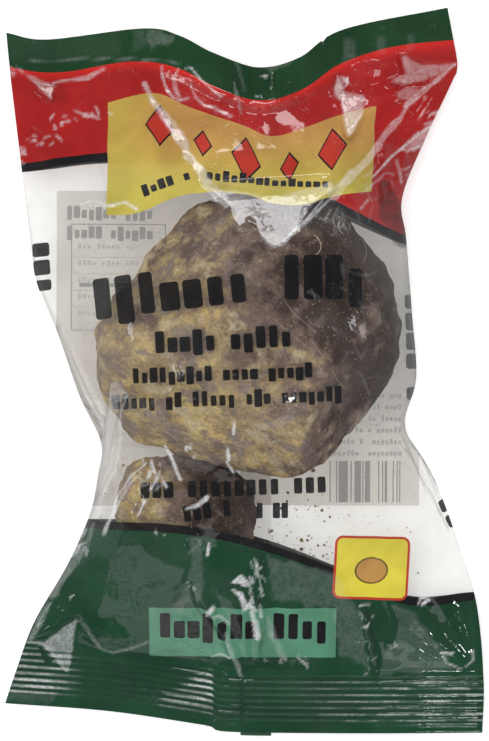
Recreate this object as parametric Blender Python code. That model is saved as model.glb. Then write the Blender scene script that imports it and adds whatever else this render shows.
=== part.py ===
"""A sealed pillow bag of clear printed film, shut round a jaggery ball and a smaller broken lump.

The bag lies on its back with its printed front up: +X is its right side, +Y its top seal, +Z the
front. The film is pulled taut over the two lumps, so the solid is one closed body: a front sheet and
a back sheet that meet in flat seals at the two ends and in a fold down each side. Metres throughout.
"""

import bmesh
import bpy
import numpy as np
from mathutils import Vector

MM = 0.001

# ---- Film and seals ---------------------------------------------------------------------------------
SEAL_THICKNESS = 0.9 * MM       # two layers of film, crimped together
TOP_SEAL_DEPTH = 11.0 * MM      # along the bag
BOTTOM_SEAL_DEPTH = 18.4 * MM
CRIMP_COUNT = 8                 # raised ridges across the bottom seal
CRIMP_HEIGHT = 0.35 * MM
FLOOR = 0.0                     # the back sheet under the lumps is the face that the bag rests on
NO_LIMIT = 1.0                  # a height that no part of the film comes near
NOWHERE = -1.0                  # a height that stands for no lump at all

# ---- Outline, seen from the front: (x, y) along each side and each end, in millimetres --------------
LEFT_SIDE = [
    (-76.3, -105.8), (-73.0, -96.0), (-67.0, -80.0), (-56.0, -61.0), (-49.0, -45.0), (-46.5, -33.0),
    (-45.4, -22.5), (-52.0, -8.0), (-58.5, 11.0), (-65.5, 28.0), (-68.0, 44.0), (-71.0, 68.0),
    (-74.6, 96.0), (-75.8, 108.0),
]
RIGHT_SIDE = [
    (76.0, -115.2), (76.4, -98.0), (74.0, -74.0), (68.0, -54.0), (59.5, -32.0), (51.0, -17.5),
    (54.4, -2.0), (53.0, 18.0), (51.2, 42.0), (50.0, 55.0), (57.5, 74.0), (66.0, 92.0),
    (67.8, 98.0), (64.8, 116.0),
]
TOP_EDGE = [
    (-75.8, 108.0), (-62.5, 105.6), (-32.0, 108.6), (-20.5, 106.2), (-9.5, 100.6), (4.5, 96.2),
    (17.5, 99.4), (31.0, 108.2), (64.8, 116.0),
]
BOTTOM_EDGE = [(-76.3, -105.8), (-43.0, -108.2), (-13.0, -112.6), (0.0, -115.0), (76.0, -115.2)]

END_BEND_POWER = 4              # how quickly the ends' bends fade from row to row along the bag
OUTLINE_SAMPLES = 40            # for each point of an outline

# ---- Height of the seam above the floor, as (place along it from 0 to 1, height in millimetres) -----
SIDE_SEAM_HEIGHT = [(0.0, 2.2), (0.12, 3.5), (0.38, 9.0), (0.6, 14.0), (0.8, 10.0), (1.0, 4.0)]
TOP_SEAM_HEIGHT = [(0.0, 4.0), (0.25, 11.0), (0.5, 15.0), (0.56, 13.5), (0.8, 11.0), (1.0, 4.0)]
BOTTOM_SEAM_HEIGHT = [(0.0, 2.2), (0.3, 3.8), (0.55, 3.0), (0.8, 4.2), (1.0, 2.2)]

# ---- Lumps inside: middle, half widths, height and squareness, in millimetres -----------------------
BALL = {"middle": (1.5, 11.5), "half": (48.0, 45.0), "height": 57.0, "squareness": 2.5}
BROKEN_LUMP = {"middle": (-19.0, -45.0), "half": (23.0, 23.0), "height": 34.0, "squareness": 2.3}
LUMPS = (BALL, BROKEN_LUMP)
FOOT_SHARE = 0.42               # the part of a lump's half width that lies flat on the floor

# ---- Folds in the front sheet: from (x, y), to (x, y), height and half width, in millimetres --------
FRONT_FOLDS = [
    ((-34.0, -28.0), (-66.0, -92.0), 2.4, 4.5),
    ((-8.0, -62.0), (3.0, -96.0), 2.6, 4.0),
    ((22.0, -30.0), (44.0, -96.0), 1.8, 5.0),
    ((44.0, -18.0), (66.0, -74.0), 2.2, 4.5),
    ((-30.0, 92.0), (-6.0, 52.0), 1.8, 4.5),
    ((44.0, 84.0), (22.0, 52.0), 1.8, 4.5),
    ((-44.0, 44.0), (-64.0, 62.0), 1.8, 4.5),
]

# ---- Mesh density -----------------------------------------------------------------------------------
COLUMNS = 34
BODY_ROWS = 36
TOP_SEAL_ROWS = 2
BOTTOM_SEAL_ROWS = 2 * CRIMP_COUNT
SETTLING_ROUNDS = 3000

# ---- Colour of the solid as a whole: clear film over brown sugar, linear red, green, blue, alpha ----
BAG_COLOUR = (0.42, 0.33, 0.27, 1.0)
BAG_ROUGHNESS = 0.2


def curve_through(points, places):
    """Reads a smooth (Catmull-Rom) curve through points at places from 0 to the last index."""
    known = np.array(points, float)
    padded = np.vstack([2 * known[0] - known[1], known, 2 * known[-1] - known[-2]])
    start = np.clip(np.floor(places).astype(int), 0, len(known) - 2)
    along = (places - start)[:, None]
    before, here, there, after = (padded[start + offset] for offset in range(4))
    return 0.5 * (
        2 * here
        + (there - before) * along
        + (2 * before - 5 * here + 4 * there - after) * along**2
        + (3 * here - before - 3 * there + after) * along**3
    )


def outline(points, axis):
    """A function from a value of the axis that the outline runs along to its other coordinate."""
    places = np.linspace(0, len(points) - 1, OUTLINE_SAMPLES * len(points))
    fine = curve_through(points, places) * MM
    fine = fine[np.argsort(fine[:, axis])]
    return lambda value: np.interp(value, fine[:, axis], fine[:, 1 - axis])


def seam_height(stations, place):
    """Height of the seam at a place along it, eased between its stations."""
    places = np.interp(place, [s[0] for s in stations], np.arange(len(stations)))
    heights = curve_through([(s[1],) for s in stations], np.ravel(places))[:, 0]
    return heights.reshape(np.shape(place)) * MM


def row_places():
    """Shares of the bag's length, 0 at its bottom edge and 1 at its top: seal, body, seal."""
    length = (TOP_EDGE[0][1] - BOTTOM_EDGE[0][1]) * MM
    foot, head = BOTTOM_SEAL_DEPTH / length, 1 - TOP_SEAL_DEPTH / length
    return np.concatenate([
        np.linspace(0, foot, BOTTOM_SEAL_ROWS, endpoint=False),
        np.linspace(foot, head, BODY_ROWS, endpoint=False),
        np.linspace(head, 1, TOP_SEAL_ROWS + 1),
    ])


def plan():
    """x and y of every mesh point seen from the front, as rows (bottom to top) by columns."""
    share = row_places()[:, None]
    across = np.linspace(0, 1, COLUMNS + 1)[None, :]
    left_x, right_x = outline(LEFT_SIDE, 1), outline(RIGHT_SIDE, 1)
    top_y, bottom_y = outline(TOP_EDGE, 0), outline(BOTTOM_EDGE, 0)
    left_y = np.interp(share, (0, 1), np.array((BOTTOM_EDGE[0][1], TOP_EDGE[0][1])) * MM)
    right_y = np.interp(share, (0, 1), np.array((BOTTOM_EDGE[-1][1], TOP_EDGE[-1][1])) * MM)
    x = left_x(left_y) * (1 - across) + right_x(right_y) * across
    straight = left_y * (1 - across) + right_y * across
    # The two ends aren't straight. Each row takes a share of their bend, which fades along the bag.
    top_bend = top_y(x[-1]) - straight[-1]
    bottom_bend = bottom_y(x[0]) - straight[0]
    y = straight + top_bend * share**END_BEND_POWER + bottom_bend * (1 - share) ** END_BEND_POWER
    return x, y


def lump_half_thickness(lump, x, y):
    """Half the lump's thickness at each point, and how far out each point is, 1 at the lump's rim."""
    (middle_x, middle_y), (half_x, half_y) = lump["middle"], lump["half"]
    reach = np.hypot((x / MM - middle_x) / half_x, (y / MM - middle_y) / half_y)
    power = lump["squareness"]
    inside = np.clip(1 - reach**power, 0, None) ** (1 / power)
    return inside * lump["height"] / 2 * MM, reach


def lump_tops(x, y):
    """The height that the lumps hold the front sheet up to, and NOWHERE where there is none."""
    tops = np.full(x.shape, NOWHERE)
    for lump in LUMPS:
        half, reach = lump_half_thickness(lump, x, y)
        tops = np.maximum(tops, np.where(reach < 1, lump["height"] / 2 * MM + half, NOWHERE))
    return tops


def lump_bottoms(x, y):
    """The height that the lumps press the back sheet down to, and NO_LIMIT where there is none."""
    bottoms = np.full(x.shape, NO_LIMIT)
    for lump in LUMPS:
        half, reach = lump_half_thickness(lump, x, y)
        under = np.where(reach < FOOT_SHARE, FLOOR, lump["height"] / 2 * MM - half)
        bottoms = np.minimum(bottoms, np.where(reach < 1, under, NO_LIMIT))
    return bottoms


def pulled_taut(start, fixed, x, y, lowest, highest):
    """Heights of a stretched sheet.

    Each free point settles at the mean height of its neighbours, weighed by how near they are, unless
    a lump or the floor stops it.
    """
    across = 1 / np.gradient(x, axis=1)[1:-1, 1:-1] ** 2
    along = 1 / np.gradient(y, axis=0)[1:-1, 1:-1] ** 2
    z = start.copy()
    free = ~fixed[1:-1, 1:-1]
    for _ in range(SETTLING_ROUNDS):
        beside = across * (z[1:-1, :-2] + z[1:-1, 2:])
        before_and_after = along * (z[:-2, 1:-1] + z[2:, 1:-1])
        mean = (beside + before_and_after) / (2 * (across + along))
        held = np.clip(mean, lowest[1:-1, 1:-1], highest[1:-1, 1:-1])
        z[1:-1, 1:-1] = np.where(free, held, z[1:-1, 1:-1])
    return z


def fold_heights(x, y):
    """How far the folds lift the front sheet: a soft ridge along each, fading out at both ends."""
    lift = np.zeros(x.shape)
    for start, end, height, half_width in FRONT_FOLDS:
        start, end = np.array(start) * MM, np.array(end) * MM
        run = end - start
        along = ((x - start[0]) * run[0] + (y - start[1]) * run[1]) / (run @ run)
        aside = ((x - start[0]) * run[1] - (y - start[1]) * run[0]) / np.linalg.norm(run)
        fade = np.clip(4 * along * (1 - along), 0, None) ** 0.5
        lift += height * MM * fade * np.exp(-((aside / (half_width * MM)) ** 2))
    return lift


def sheets():
    """The front and the back sheet as arrays of points, rows by columns by three."""
    x, y = plan()
    share = row_places()[:, None] * np.ones_like(x)
    across = np.linspace(0, 1, COLUMNS + 1)[None, :] * np.ones_like(x)
    rows = np.arange(x.shape[0])[:, None] * np.ones_like(x, int)
    in_bottom_seal = rows <= BOTTOM_SEAL_ROWS
    in_top_seal = rows >= BOTTOM_SEAL_ROWS + BODY_ROWS
    in_seal = in_bottom_seal | in_top_seal
    ends = np.where(
        in_top_seal, seam_height(TOP_SEAM_HEIGHT, across), seam_height(BOTTOM_SEAM_HEIGHT, across)
    )
    seam = np.where(in_seal, ends, seam_height(SIDE_SEAM_HEIGHT, share))
    fixed = in_seal | (across == 0) | (across == 1)
    half_film = SEAL_THICKNESS / 2
    floor, no_limit = np.full(x.shape, FLOOR), np.full(x.shape, NO_LIMIT)
    tops = np.maximum(lump_tops(x, y), SEAL_THICKNESS)
    front = pulled_taut(seam + half_film, fixed, x, y, tops, no_limit)
    back_start = np.where(fixed, seam - half_film, FLOOR)
    back = pulled_taut(back_start, fixed, x, y, floor, lump_bottoms(x, y))
    lifted = np.maximum(front + fold_heights(x, y), back + SEAL_THICKNESS)
    front = np.where(fixed, front, lifted)
    crimp = np.where(in_bottom_seal & (rows % 2 == 1), CRIMP_HEIGHT, 0.0)
    return np.dstack([x, y, front + crimp]), np.dstack([x, y, back + crimp])


def sheet_of(mesh, points):
    """Adds a grid with its points in these places, and gives its vertices as rows by columns."""
    rows, columns = points.shape[:2]
    made = bmesh.ops.create_grid(mesh, x_segments=columns - 1, y_segments=rows - 1, size=1.0)
    grid = np.array(made["verts"], dtype=object).reshape(rows, columns)
    for row in range(rows):
        for column in range(columns):
            grid[row, column].co = Vector(points[row, column])
    return grid


def rim_of(grid):
    """The edges round a sheet's border."""
    border = set(grid[0]) | set(grid[-1]) | set(grid[:, 0]) | set(grid[:, -1])
    return [e for e in {e for v in border for e in v.link_edges} if e.is_boundary]


def film_material():
    """Clear film over brown sugar: the bag's colour as a whole."""
    material = bpy.data.materials.new("printed_film")
    material.use_nodes = True
    shader = material.node_tree.nodes["Principled BSDF"]
    shader.inputs["Base Color"].default_value = BAG_COLOUR
    shader.inputs["Roughness"].default_value = BAG_ROUGHNESS
    return material


def make_bag():
    """The whole bag as one closed solid, its origin under the middle of its outline."""
    front, back = sheets()
    mesh = bmesh.new()
    front_grid, back_grid = sheet_of(mesh, front), sheet_of(mesh, back)
    bmesh.ops.bridge_loops(mesh, edges=rim_of(front_grid) + rim_of(back_grid))
    points = np.concatenate([front.reshape(-1, 3), back.reshape(-1, 3)])
    low, high = Vector(points.min(0)), Vector(points.max(0))
    middle = (low + high) / 2
    bmesh.ops.translate(mesh, verts=mesh.verts[:], vec=Vector((-middle.x, -middle.y, -low.z)))
    bmesh.ops.recalc_face_normals(mesh, faces=mesh.faces[:])
    data = bpy.data.meshes.new("bag")
    mesh.to_mesh(data)
    mesh.free()
    data.materials.append(film_material())
    data.shade_smooth()
    bag = bpy.data.objects.new("bag", data)
    bpy.context.scene.collection.objects.link(bag)
    return bag


def clear_scene():
    """Removes whatever the scene holds."""
    for thing in list(bpy.data.objects):
        bpy.data.objects.remove(thing)


clear_scene()
make_bag()
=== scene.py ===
"""A sealed pillow bag of clear printed film, drawn over a jaggery ball and a smaller broken lump.

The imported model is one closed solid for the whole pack. Here it is replaced by the film, front and back,
its lengthwise seal, the two lumps inside, and the crumbs and sugar dust that have come off them. The bag
lies on its back with its printed front up: +X is its right side, +Y its top seal. Metres throughout,
apart from sizes named in millimetres, which are multiplied by MM.
"""

import logging
import math
from dataclasses import dataclass, field
from enum import Enum
from typing import Callable, Sequence

import bmesh
import bpy
import numpy as np
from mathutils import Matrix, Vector, noise
from mathutils.bvhtree import BVHTree


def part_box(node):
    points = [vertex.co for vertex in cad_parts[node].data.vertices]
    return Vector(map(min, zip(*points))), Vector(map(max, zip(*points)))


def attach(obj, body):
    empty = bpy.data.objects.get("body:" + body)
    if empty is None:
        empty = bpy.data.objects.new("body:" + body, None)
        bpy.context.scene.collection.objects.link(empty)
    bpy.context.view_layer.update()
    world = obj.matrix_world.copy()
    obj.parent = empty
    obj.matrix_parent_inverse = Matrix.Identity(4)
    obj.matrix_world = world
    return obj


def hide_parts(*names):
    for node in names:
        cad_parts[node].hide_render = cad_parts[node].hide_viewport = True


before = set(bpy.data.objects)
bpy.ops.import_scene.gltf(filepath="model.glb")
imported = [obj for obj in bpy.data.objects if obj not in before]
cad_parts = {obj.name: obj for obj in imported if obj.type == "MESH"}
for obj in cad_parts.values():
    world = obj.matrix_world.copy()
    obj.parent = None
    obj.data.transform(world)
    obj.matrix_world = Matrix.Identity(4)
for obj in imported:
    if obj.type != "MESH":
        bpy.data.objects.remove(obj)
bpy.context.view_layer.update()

MM = 0.001
BAG_NODE = "bag"
BODY = "root"
FLAT_MAP = "film_flat"
FLAT_WIDTH = 160.0   # millimetres that the film's UV map spans across
FLAT_LENGTH = 250.0  # and along the bag
PAINTED_LIGHT_MARKS = "painted_highlight_and_shade"  # the film's attribute: above 0 where a highlight is painted on, below 0 where fold shade is painted on
SIDE_FOLD = 1.8  # millimetres over which the front film turns down into its side folds
MARK_REACH = 14.0  # millimetres past its outline where a mark in the film fades away
FILM_GAP = 0.25 * MM  # between the film and what it rests on

log = logging.getLogger("jaggery_bag")

Points = Sequence[tuple[float, float]]
Colour = tuple[float, float, float]


# ---- Curves and noise -------------------------------------------------------------------------------


def curve_through(points: Sequence[Sequence[float]], places: np.ndarray) -> np.ndarray:
    """Reads a smooth (Catmull-Rom) curve through points.

    Args:
        points: The points that the curve passes through.
        places: Where to read it, from 0 at the first point to the last index at the last.

    Returns:
        One row of coordinates for each place.
    """
    known = np.array(points, float)
    padded = np.vstack([2 * known[0] - known[1], known, 2 * known[-1] - known[-2]])
    start = np.clip(np.floor(places).astype(int), 0, len(known) - 2)
    along = (places - start)[:, None]
    before, here, there, after = (padded[start + offset] for offset in range(4))
    return 0.5 * (
        2 * here
        + (there - before) * along
        + (2 * before - 5 * here + 4 * there - after) * along**2
        + (3 * here - before - 3 * there + after) * along**3
    )


def line_along(points: Points, axis: int) -> Callable[[np.ndarray], np.ndarray]:
    """Makes a function of one coordinate from an outline in millimetres.

    Args:
        points: The outline's points.
        axis: The coordinate that the outline runs along, 0 for x and 1 for y.

    Returns:
        A function that gives the other coordinate, in millimetres.
    """
    fine = curve_through(points, np.linspace(0, len(points) - 1, 40 * len(points)))
    fine = fine[np.argsort(fine[:, axis])]
    return lambda value: np.interp(value, fine[:, axis], fine[:, 1 - axis])


def soft_step(value: np.ndarray, low: float, high: float) -> np.ndarray:
    """Rises from 0 at low to 1 at high, eased at both ends."""
    share = np.clip((value - low) / (high - low), 0, 1)
    return share * share * (3 - 2 * share)


def ripple(x: np.ndarray, y: np.ndarray, size: float, seed: int) -> np.ndarray:
    """Smooth random waves over a plane.

    Args:
        x: Places across.
        y: Places along.
        size: The length of one wave, in the places' units.
        seed: Which of many patterns.

    Returns:
        Values between -1 and 1.
    """
    table = np.random.default_rng(seed).uniform(-1, 1, (64, 64))
    across, along = x / size + 17.3, y / size + 9.1
    column, row = np.floor(across).astype(int), np.floor(along).astype(int)
    fx, fy = across - column, along - row
    fx, fy = fx * fx * (3 - 2 * fx), fy * fy * (3 - 2 * fy)

    def corner(dx: int, dy: int) -> np.ndarray:
        """The table's value at one corner of each place's cell."""
        return table[(row + dy) % 64, (column + dx) % 64]

    low = corner(0, 0) * (1 - fx) + corner(1, 0) * fx
    high = corner(0, 1) * (1 - fx) + corner(1, 1) * fx
    return low * (1 - fy) + high * fy


def tent(value: np.ndarray) -> np.ndarray:
    """A zigzag between -1 and 1 with flat slopes and sharp turns, one period for each unit."""
    return 4 * np.abs(value - np.floor(value + 0.5)) - 1


# ---- Building shader trees --------------------------------------------------------------------------


Socket = bpy.types.NodeSocket


class Graph:
    """The nodes of a material or a group, with short ways to add and join them."""

    def __init__(self, tree: bpy.types.NodeTree) -> None:
        """Starts on a tree and clears it."""
        self.tree = tree
        self.tree.nodes.clear()

    def put(self, socket: Socket, value: object) -> None:
        """Links a socket's output to an input, or sets the input to a plain value."""
        if isinstance(value, bpy.types.NodeSocket):
            self.tree.links.new(value, socket)
        elif isinstance(value, tuple) and len(value) == 3 and socket.type == "RGBA":
            socket.default_value = (*value, 1.0)
        else:
            socket.default_value = value

    def node(self, kind: str, inputs: dict | None = None, **settings: object) -> bpy.types.Node:
        """Adds a node.

        Args:
            kind: Its type without the ShaderNode in front.
            inputs: Values or sockets by input name or number.
            settings: Its other properties.

        Returns:
            The node.
        """
        made = self.tree.nodes.new("ShaderNode" + kind)
        for name, value in settings.items():
            setattr(made, name, value)
        for name, value in (inputs or {}).items():
            self.put(made.inputs[name], value)
        return made

    def math(self, operation: str, *values: object, clamp: bool = False) -> Socket:
        """A Math node on one, two or three values."""
        made = self.node("Math", dict(enumerate(values)), operation=operation, use_clamp=clamp)
        return made.outputs[0]

    def total(self, first: object, *rest: object) -> Socket:
        """Adds up values."""
        for value in rest:
            first = self.math("ADD", first, value)
        return first

    def product(self, first: object, *rest: object) -> Socket:
        """Multiplies values."""
        for value in rest:
            first = self.math("MULTIPLY", first, value)
        return first

    def between(self, value: object, low: object, high: object) -> Socket:
        """1 where value lies between low and high, and 0 elsewhere."""
        return self.product(self.math("GREATER_THAN", value, low), self.math("LESS_THAN", value, high))

    def spread(self, value: object, low: float, high: float, to_low: float = 0.0, to_high: float = 1.0) -> Socket:
        """Maps low..high to to_low..to_high, eased and held at both ends."""
        inputs = {"Value": value, "From Min": low, "From Max": high, "To Min": to_low, "To Max": to_high}
        return self.node("MapRange", inputs, interpolation_type="SMOOTHSTEP").outputs["Result"]

    def blend(self, share: object, under: object, over: object, how: str = "MIX") -> Socket:
        """Mixes two colours."""
        made = self.node("Mix", data_type="RGBA", blend_type=how)
        for number, value in zip((0, 6, 7), (share, under, over)):
            self.put(made.inputs[number], value)
        return made.outputs[2]

    def noise(self, place: Socket, size: float, detail: float = 2.0, roughness: float = 0.5,
              distortion: float = 0.0) -> Socket:
        """Cloudy noise whose blobs are about size across, in the units of place."""
        inputs = {"Vector": place, "Scale": 1 / size, "Detail": detail, "Roughness": roughness,
                  "Distortion": distortion}
        return self.node("TexNoise", inputs).outputs[0]

    def cells(self, place: Socket, size: float, feature: str = "F1") -> bpy.types.Node:
        """A Voronoi node with cells of about size."""
        return self.node("TexVoronoi", {"Vector": place, "Scale": 1 / size}, feature=feature)

    def curve(self, value: Socket, points: Points) -> Socket:
        """Reads a smooth line through points in millimetres.

        Args:
            value: Where to read it, in millimetres across.
            points: The points, as (across, along) in millimetres.

        Returns:
            The line's place along the bag, in millimetres.
        """
        share = self.math("MULTIPLY_ADD", value, 1 / FLAT_WIDTH, 0.5)
        made = self.node("FloatCurve", {"Value": share})
        line = made.mapping.curves[0]
        made.mapping.extend = "EXTRAPOLATED"
        places = [(x / FLAT_WIDTH + 0.5, y / FLAT_LENGTH + 0.5) for x, y in points]
        while len(line.points) < len(places):
            line.points.new(0.5, 0.5)
        for point, place in zip(line.points, places):
            point.location = place
            point.handle_type = "AUTO"
        made.mapping.update()
        return self.math("MULTIPLY_ADD", made.outputs[0], FLAT_LENGTH, -FLAT_LENGTH / 2)


class GroupMaker:
    """Builds a shader group with named sockets, once, and places it in other trees."""

    def __init__(self, name: str, inputs: dict[str, float], outputs: Sequence[str],
                 fill: Callable[[Graph, dict[str, Socket]], dict[str, Socket]],
                 places: Sequence[str] = ()) -> None:
        """Makes the group.

        Args:
            name: The group's name.
            inputs: Its number inputs and their plain values.
            outputs: The names of its number outputs.
            fill: A function that adds its nodes and gives a socket for each output.
            places: The names of its vector inputs.
        """
        self.tree = bpy.data.node_groups.new(name, "ShaderNodeTree")
        for place in places:
            self.tree.interface.new_socket(place, in_out="INPUT", socket_type="NodeSocketVector")
        for title, value in inputs.items():
            made = self.tree.interface.new_socket(title, in_out="INPUT", socket_type="NodeSocketFloat")
            made.default_value = value
        for title in outputs:
            self.tree.interface.new_socket(title, in_out="OUTPUT", socket_type="NodeSocketFloat")
        graph = Graph(self.tree)
        start = self.tree.nodes.new("NodeGroupInput")
        end = self.tree.nodes.new("NodeGroupOutput")
        given = {s.name: s for s in start.outputs if s.name}
        for title, socket in fill(graph, given).items():
            self.tree.links.new(socket, end.inputs[title])

    def place(self, graph: Graph, inputs: dict[str, object]) -> bpy.types.Node:
        """Adds the group to a tree with its own values."""
        made = graph.tree.nodes.new("ShaderNodeGroup")
        made.node_tree = self.tree
        for title, value in inputs.items():
            graph.put(made.inputs[title], value)
        return made


def turned(graph: Graph, given: dict[str, Socket]) -> tuple[Socket, Socket]:
    """Places measured from a start point along a tilted line, and up from it."""
    across = graph.math("SUBTRACT", given["Across"], given["Start Across"])
    along = graph.math("SUBTRACT", given["Along"], given["Start Along"])
    cosine, sine = graph.math("COSINE", given["Tilt"]), graph.math("SINE", given["Tilt"])
    run = graph.total(graph.product(across, cosine), graph.product(along, sine))
    rise = graph.math("SUBTRACT", graph.product(along, cosine), graph.product(across, sine))
    return run, rise


def fill_word_row(graph: Graph, given: dict[str, Socket]) -> dict[str, Socket]:
    """A row of plain rounded blocks of uneven height and width, with gaps, which stands for words."""
    run, rise = turned(graph, given)
    steps = graph.math("DIVIDE", run, given["Pitch"])
    cell, within = graph.math("FLOOR", steps), graph.math("FRACT", steps)

    def chance(offset: float) -> Socket:
        """A random number for each block."""
        key = graph.total(cell, graph.product(given["Seed"], 37.0), offset)
        return graph.node("TexWhiteNoise", {"W": key}, noise_dimensions="1D").outputs["Value"]

    first = graph.math("COMPARE", cell, 0.0, 0.5)
    tall = graph.math("MAXIMUM", first, graph.math("GREATER_THAN", chance(0.31), 0.62))
    tail = graph.product(graph.math("GREATER_THAN", chance(0.57), 0.8), graph.math("GREATER_THAN", given["Rise"], 0.0))
    gap = graph.math("LESS_THAN", chance(0.73), given["Gaps"])
    for number in range(1, 5):
        gap = graph.math("MAXIMUM", gap, graph.math("COMPARE", cell, given[f"Gap {number}"], 0.5))
    top = graph.product(given["Height"], graph.math("MULTIPLY_ADD", tall, given["Rise"], 1.0))
    foot = graph.product(given["Height"], tail, -0.26)
    half_width = graph.product(given["Pitch"], graph.math("MULTIPLY_ADD", chance(0.11), 0.14, 0.30))
    half_height = graph.math("MULTIPLY", graph.math("SUBTRACT", top, foot), 0.5)
    corner = graph.product(given["Pitch"], 0.16)
    across = graph.product(given["Pitch"], graph.math("SUBTRACT", within, 0.5))
    along = graph.math("SUBTRACT", rise, graph.math("MULTIPLY", graph.total(top, foot), 0.5))
    beyond = rounded_box(graph, across, along, half_width, half_height, corner)
    block = graph.product(
        graph.math("LESS_THAN", beyond, 0.0), graph.between(run, 0.0, given["Length"]),
        graph.math("SUBTRACT", 1.0, gap))
    return {"Ink": block}


def rounded_box(graph: Graph, across: Socket, along: Socket, half_width: Socket, half_height: Socket,
                corner: Socket) -> Socket:
    """How far each place lies outside a rounded rectangle round the origin, below zero inside it."""
    over = [graph.math("SUBTRACT", graph.math("ABSOLUTE", value), graph.math("SUBTRACT", half, corner))
            for value, half in ((across, half_width), (along, half_height))]
    outside = [graph.math("MAXIMUM", value, 0.0) for value in over]
    length = graph.math("SQRT", graph.total(*(graph.product(value, value) for value in outside)))
    inside = graph.math("MINIMUM", graph.math("MAXIMUM", *over), 0.0)
    return graph.math("SUBTRACT", graph.total(length, inside), corner)


def fill_plate(graph: Graph, given: dict[str, Socket]) -> dict[str, Socket]:
    """How far each place lies outside a tilted, rounded rectangle, in millimetres, below zero inside it."""
    run, rise = turned(graph, given)
    beyond = rounded_box(graph, run, rise, given["Half Width"], given["Half Height"], given["Corner"])
    return {"Distance": beyond}


def fill_crinkle(graph: Graph, given: dict[str, Socket]) -> dict[str, Socket]:
    """Fine handling marks in thin film: broad soft waves, short sharp creases and a faint grain."""
    place = given["Place"]
    broad = graph.noise(place, 9 * MM, 2.0, 0.5, 0.6)
    sharp = graph.math("ABSOLUTE", graph.math("SUBTRACT", graph.noise(place, 5 * MM, 3.0, 0.55, 1.1), 0.5))
    crease = graph.spread(sharp, 0.0, 0.035, 1.0, 0.0)
    where = graph.spread(graph.noise(place, 16 * MM, 1.0), 0.48, 0.62)
    grain = graph.noise(place, 0.9 * MM, 2.0, 0.6)
    height = graph.total(
        graph.product(broad, given["Waves"]),
        graph.product(crease, where, given["Creases"]),
        graph.product(grain, given["Grain"]),
    )
    return {"Height": height}


def fill_sugar(graph: Graph, given: dict[str, Socket]) -> dict[str, Socket]:
    """Pressed brown sugar: where it is pale, where it is dark, its pale crystals and its rough height."""
    place = given["Place"]
    patches = graph.noise(place, 21 * MM, 3.0, 0.6, 0.25)
    mottle = graph.noise(place, 5.5 * MM, 3.0, 0.65, 0.15)
    stain = graph.noise(place, 8.5 * MM, 3.0, 0.6, 0.2)
    grains = graph.noise(place, 1.1 * MM, 3.0, 0.7)
    cells = graph.cells(place, 0.95 * MM)
    chance = graph.node("SeparateColor", {0: cells.outputs["Color"]}).outputs[0]
    crystal = graph.product(graph.spread(cells.outputs["Distance"], 0.14, 0.42, 1.0, 0.0),
                            graph.spread(chance, 0.55, 1.0), graph.spread(stain, 0.4, 0.6, 0.25, 1.0))
    pale = graph.total(graph.product(patches, 0.58), graph.product(mottle, 0.42))
    height = graph.total(graph.product(mottle, 0.45), graph.product(grains, 0.4), graph.product(crystal, 0.25))
    return {"Pale": pale, "Stain": stain, "Grains": grains, "Crystals": crystal, "Height": height}


class Groups:
    """The shader groups that more than one material uses."""

    def __init__(self) -> None:
        """Builds them all."""
        line = {"Across": 0.0, "Along": 0.0, "Start Across": 0.0, "Start Along": 0.0, "Tilt": 0.0}
        self.word_row = GroupMaker(
            "word_row", line | {"Length": 50.0, "Height": 3.0, "Pitch": 2.5, "Rise": 0.45, "Gaps": 0.0, "Seed": 0.0}
            | {f"Gap {number}": -1.0 for number in range(1, 5)}, ("Ink",), fill_word_row)
        self.plate = GroupMaker(
            "rounded_plate", line | {"Half Width": 10.0, "Half Height": 5.0, "Corner": 1.0},
            ("Distance",), fill_plate)
        self.crinkle = GroupMaker(
            "film_crinkle", {"Waves": 1.0, "Creases": 1.0, "Grain": 0.1}, ("Height",), fill_crinkle, ("Place",))
        self.sugar = GroupMaker(
            "pressed_sugar", {}, ("Pale", "Stain", "Grains", "Crystals", "Height"), fill_sugar, ("Place",))


# ---- Finishes -----------------------------------------------------------------------------------------


@dataclass(frozen=True)
class Inks:
    """The print's colours and how solid each is, as linear red, green and blue."""

    red: Colour = (0.40, 0.011, 0.011)
    seal_red: Colour = (0.62, 0.018, 0.014)
    top_green: Colour = (0.010, 0.055, 0.018)
    bottom_green: Colour = (0.008, 0.060, 0.026)
    black: Colour = (0.008, 0.008, 0.010)
    label: Colour = (0.10, 0.29, 0.18)
    panel_low: Colour = (0.56, 0.47, 0.07)
    panel_high: Colour = (0.53, 0.275, 0.072)
    badge: Colour = (0.78, 0.66, 0.06)
    badge_rim: Colour = (0.55, 0.05, 0.02)
    badge_mark: Colour = (0.16, 0.10, 0.02)
    panel_mark: Colour = (0.50, 0.03, 0.015)
    beige: Colour = (0.56, 0.48, 0.37)


@dataclass(frozen=True)
class Words:
    """One row of printed blocks: where it starts, its blocks, their size and its tilt, in millimetres."""

    start: tuple[float, float]
    blocks: int
    pitch: float
    height: float
    tilt: float
    seed: int
    spaces: tuple[int, ...] = ()
    rise: float = 0.45

    def inputs(self, across: Socket, along: Socket) -> dict[str, object]:
        """What the word row's group is given."""
        gaps = {f"Gap {number + 1}": float(space) for number, space in enumerate(self.spaces)}
        return {"Across": across, "Along": along, "Start Across": self.start[0], "Start Along": self.start[1],
                "Tilt": math.radians(self.tilt), "Length": self.blocks * self.pitch, "Height": self.height,
                "Pitch": self.pitch, "Rise": self.rise, "Seed": float(self.seed)} | gaps


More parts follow.
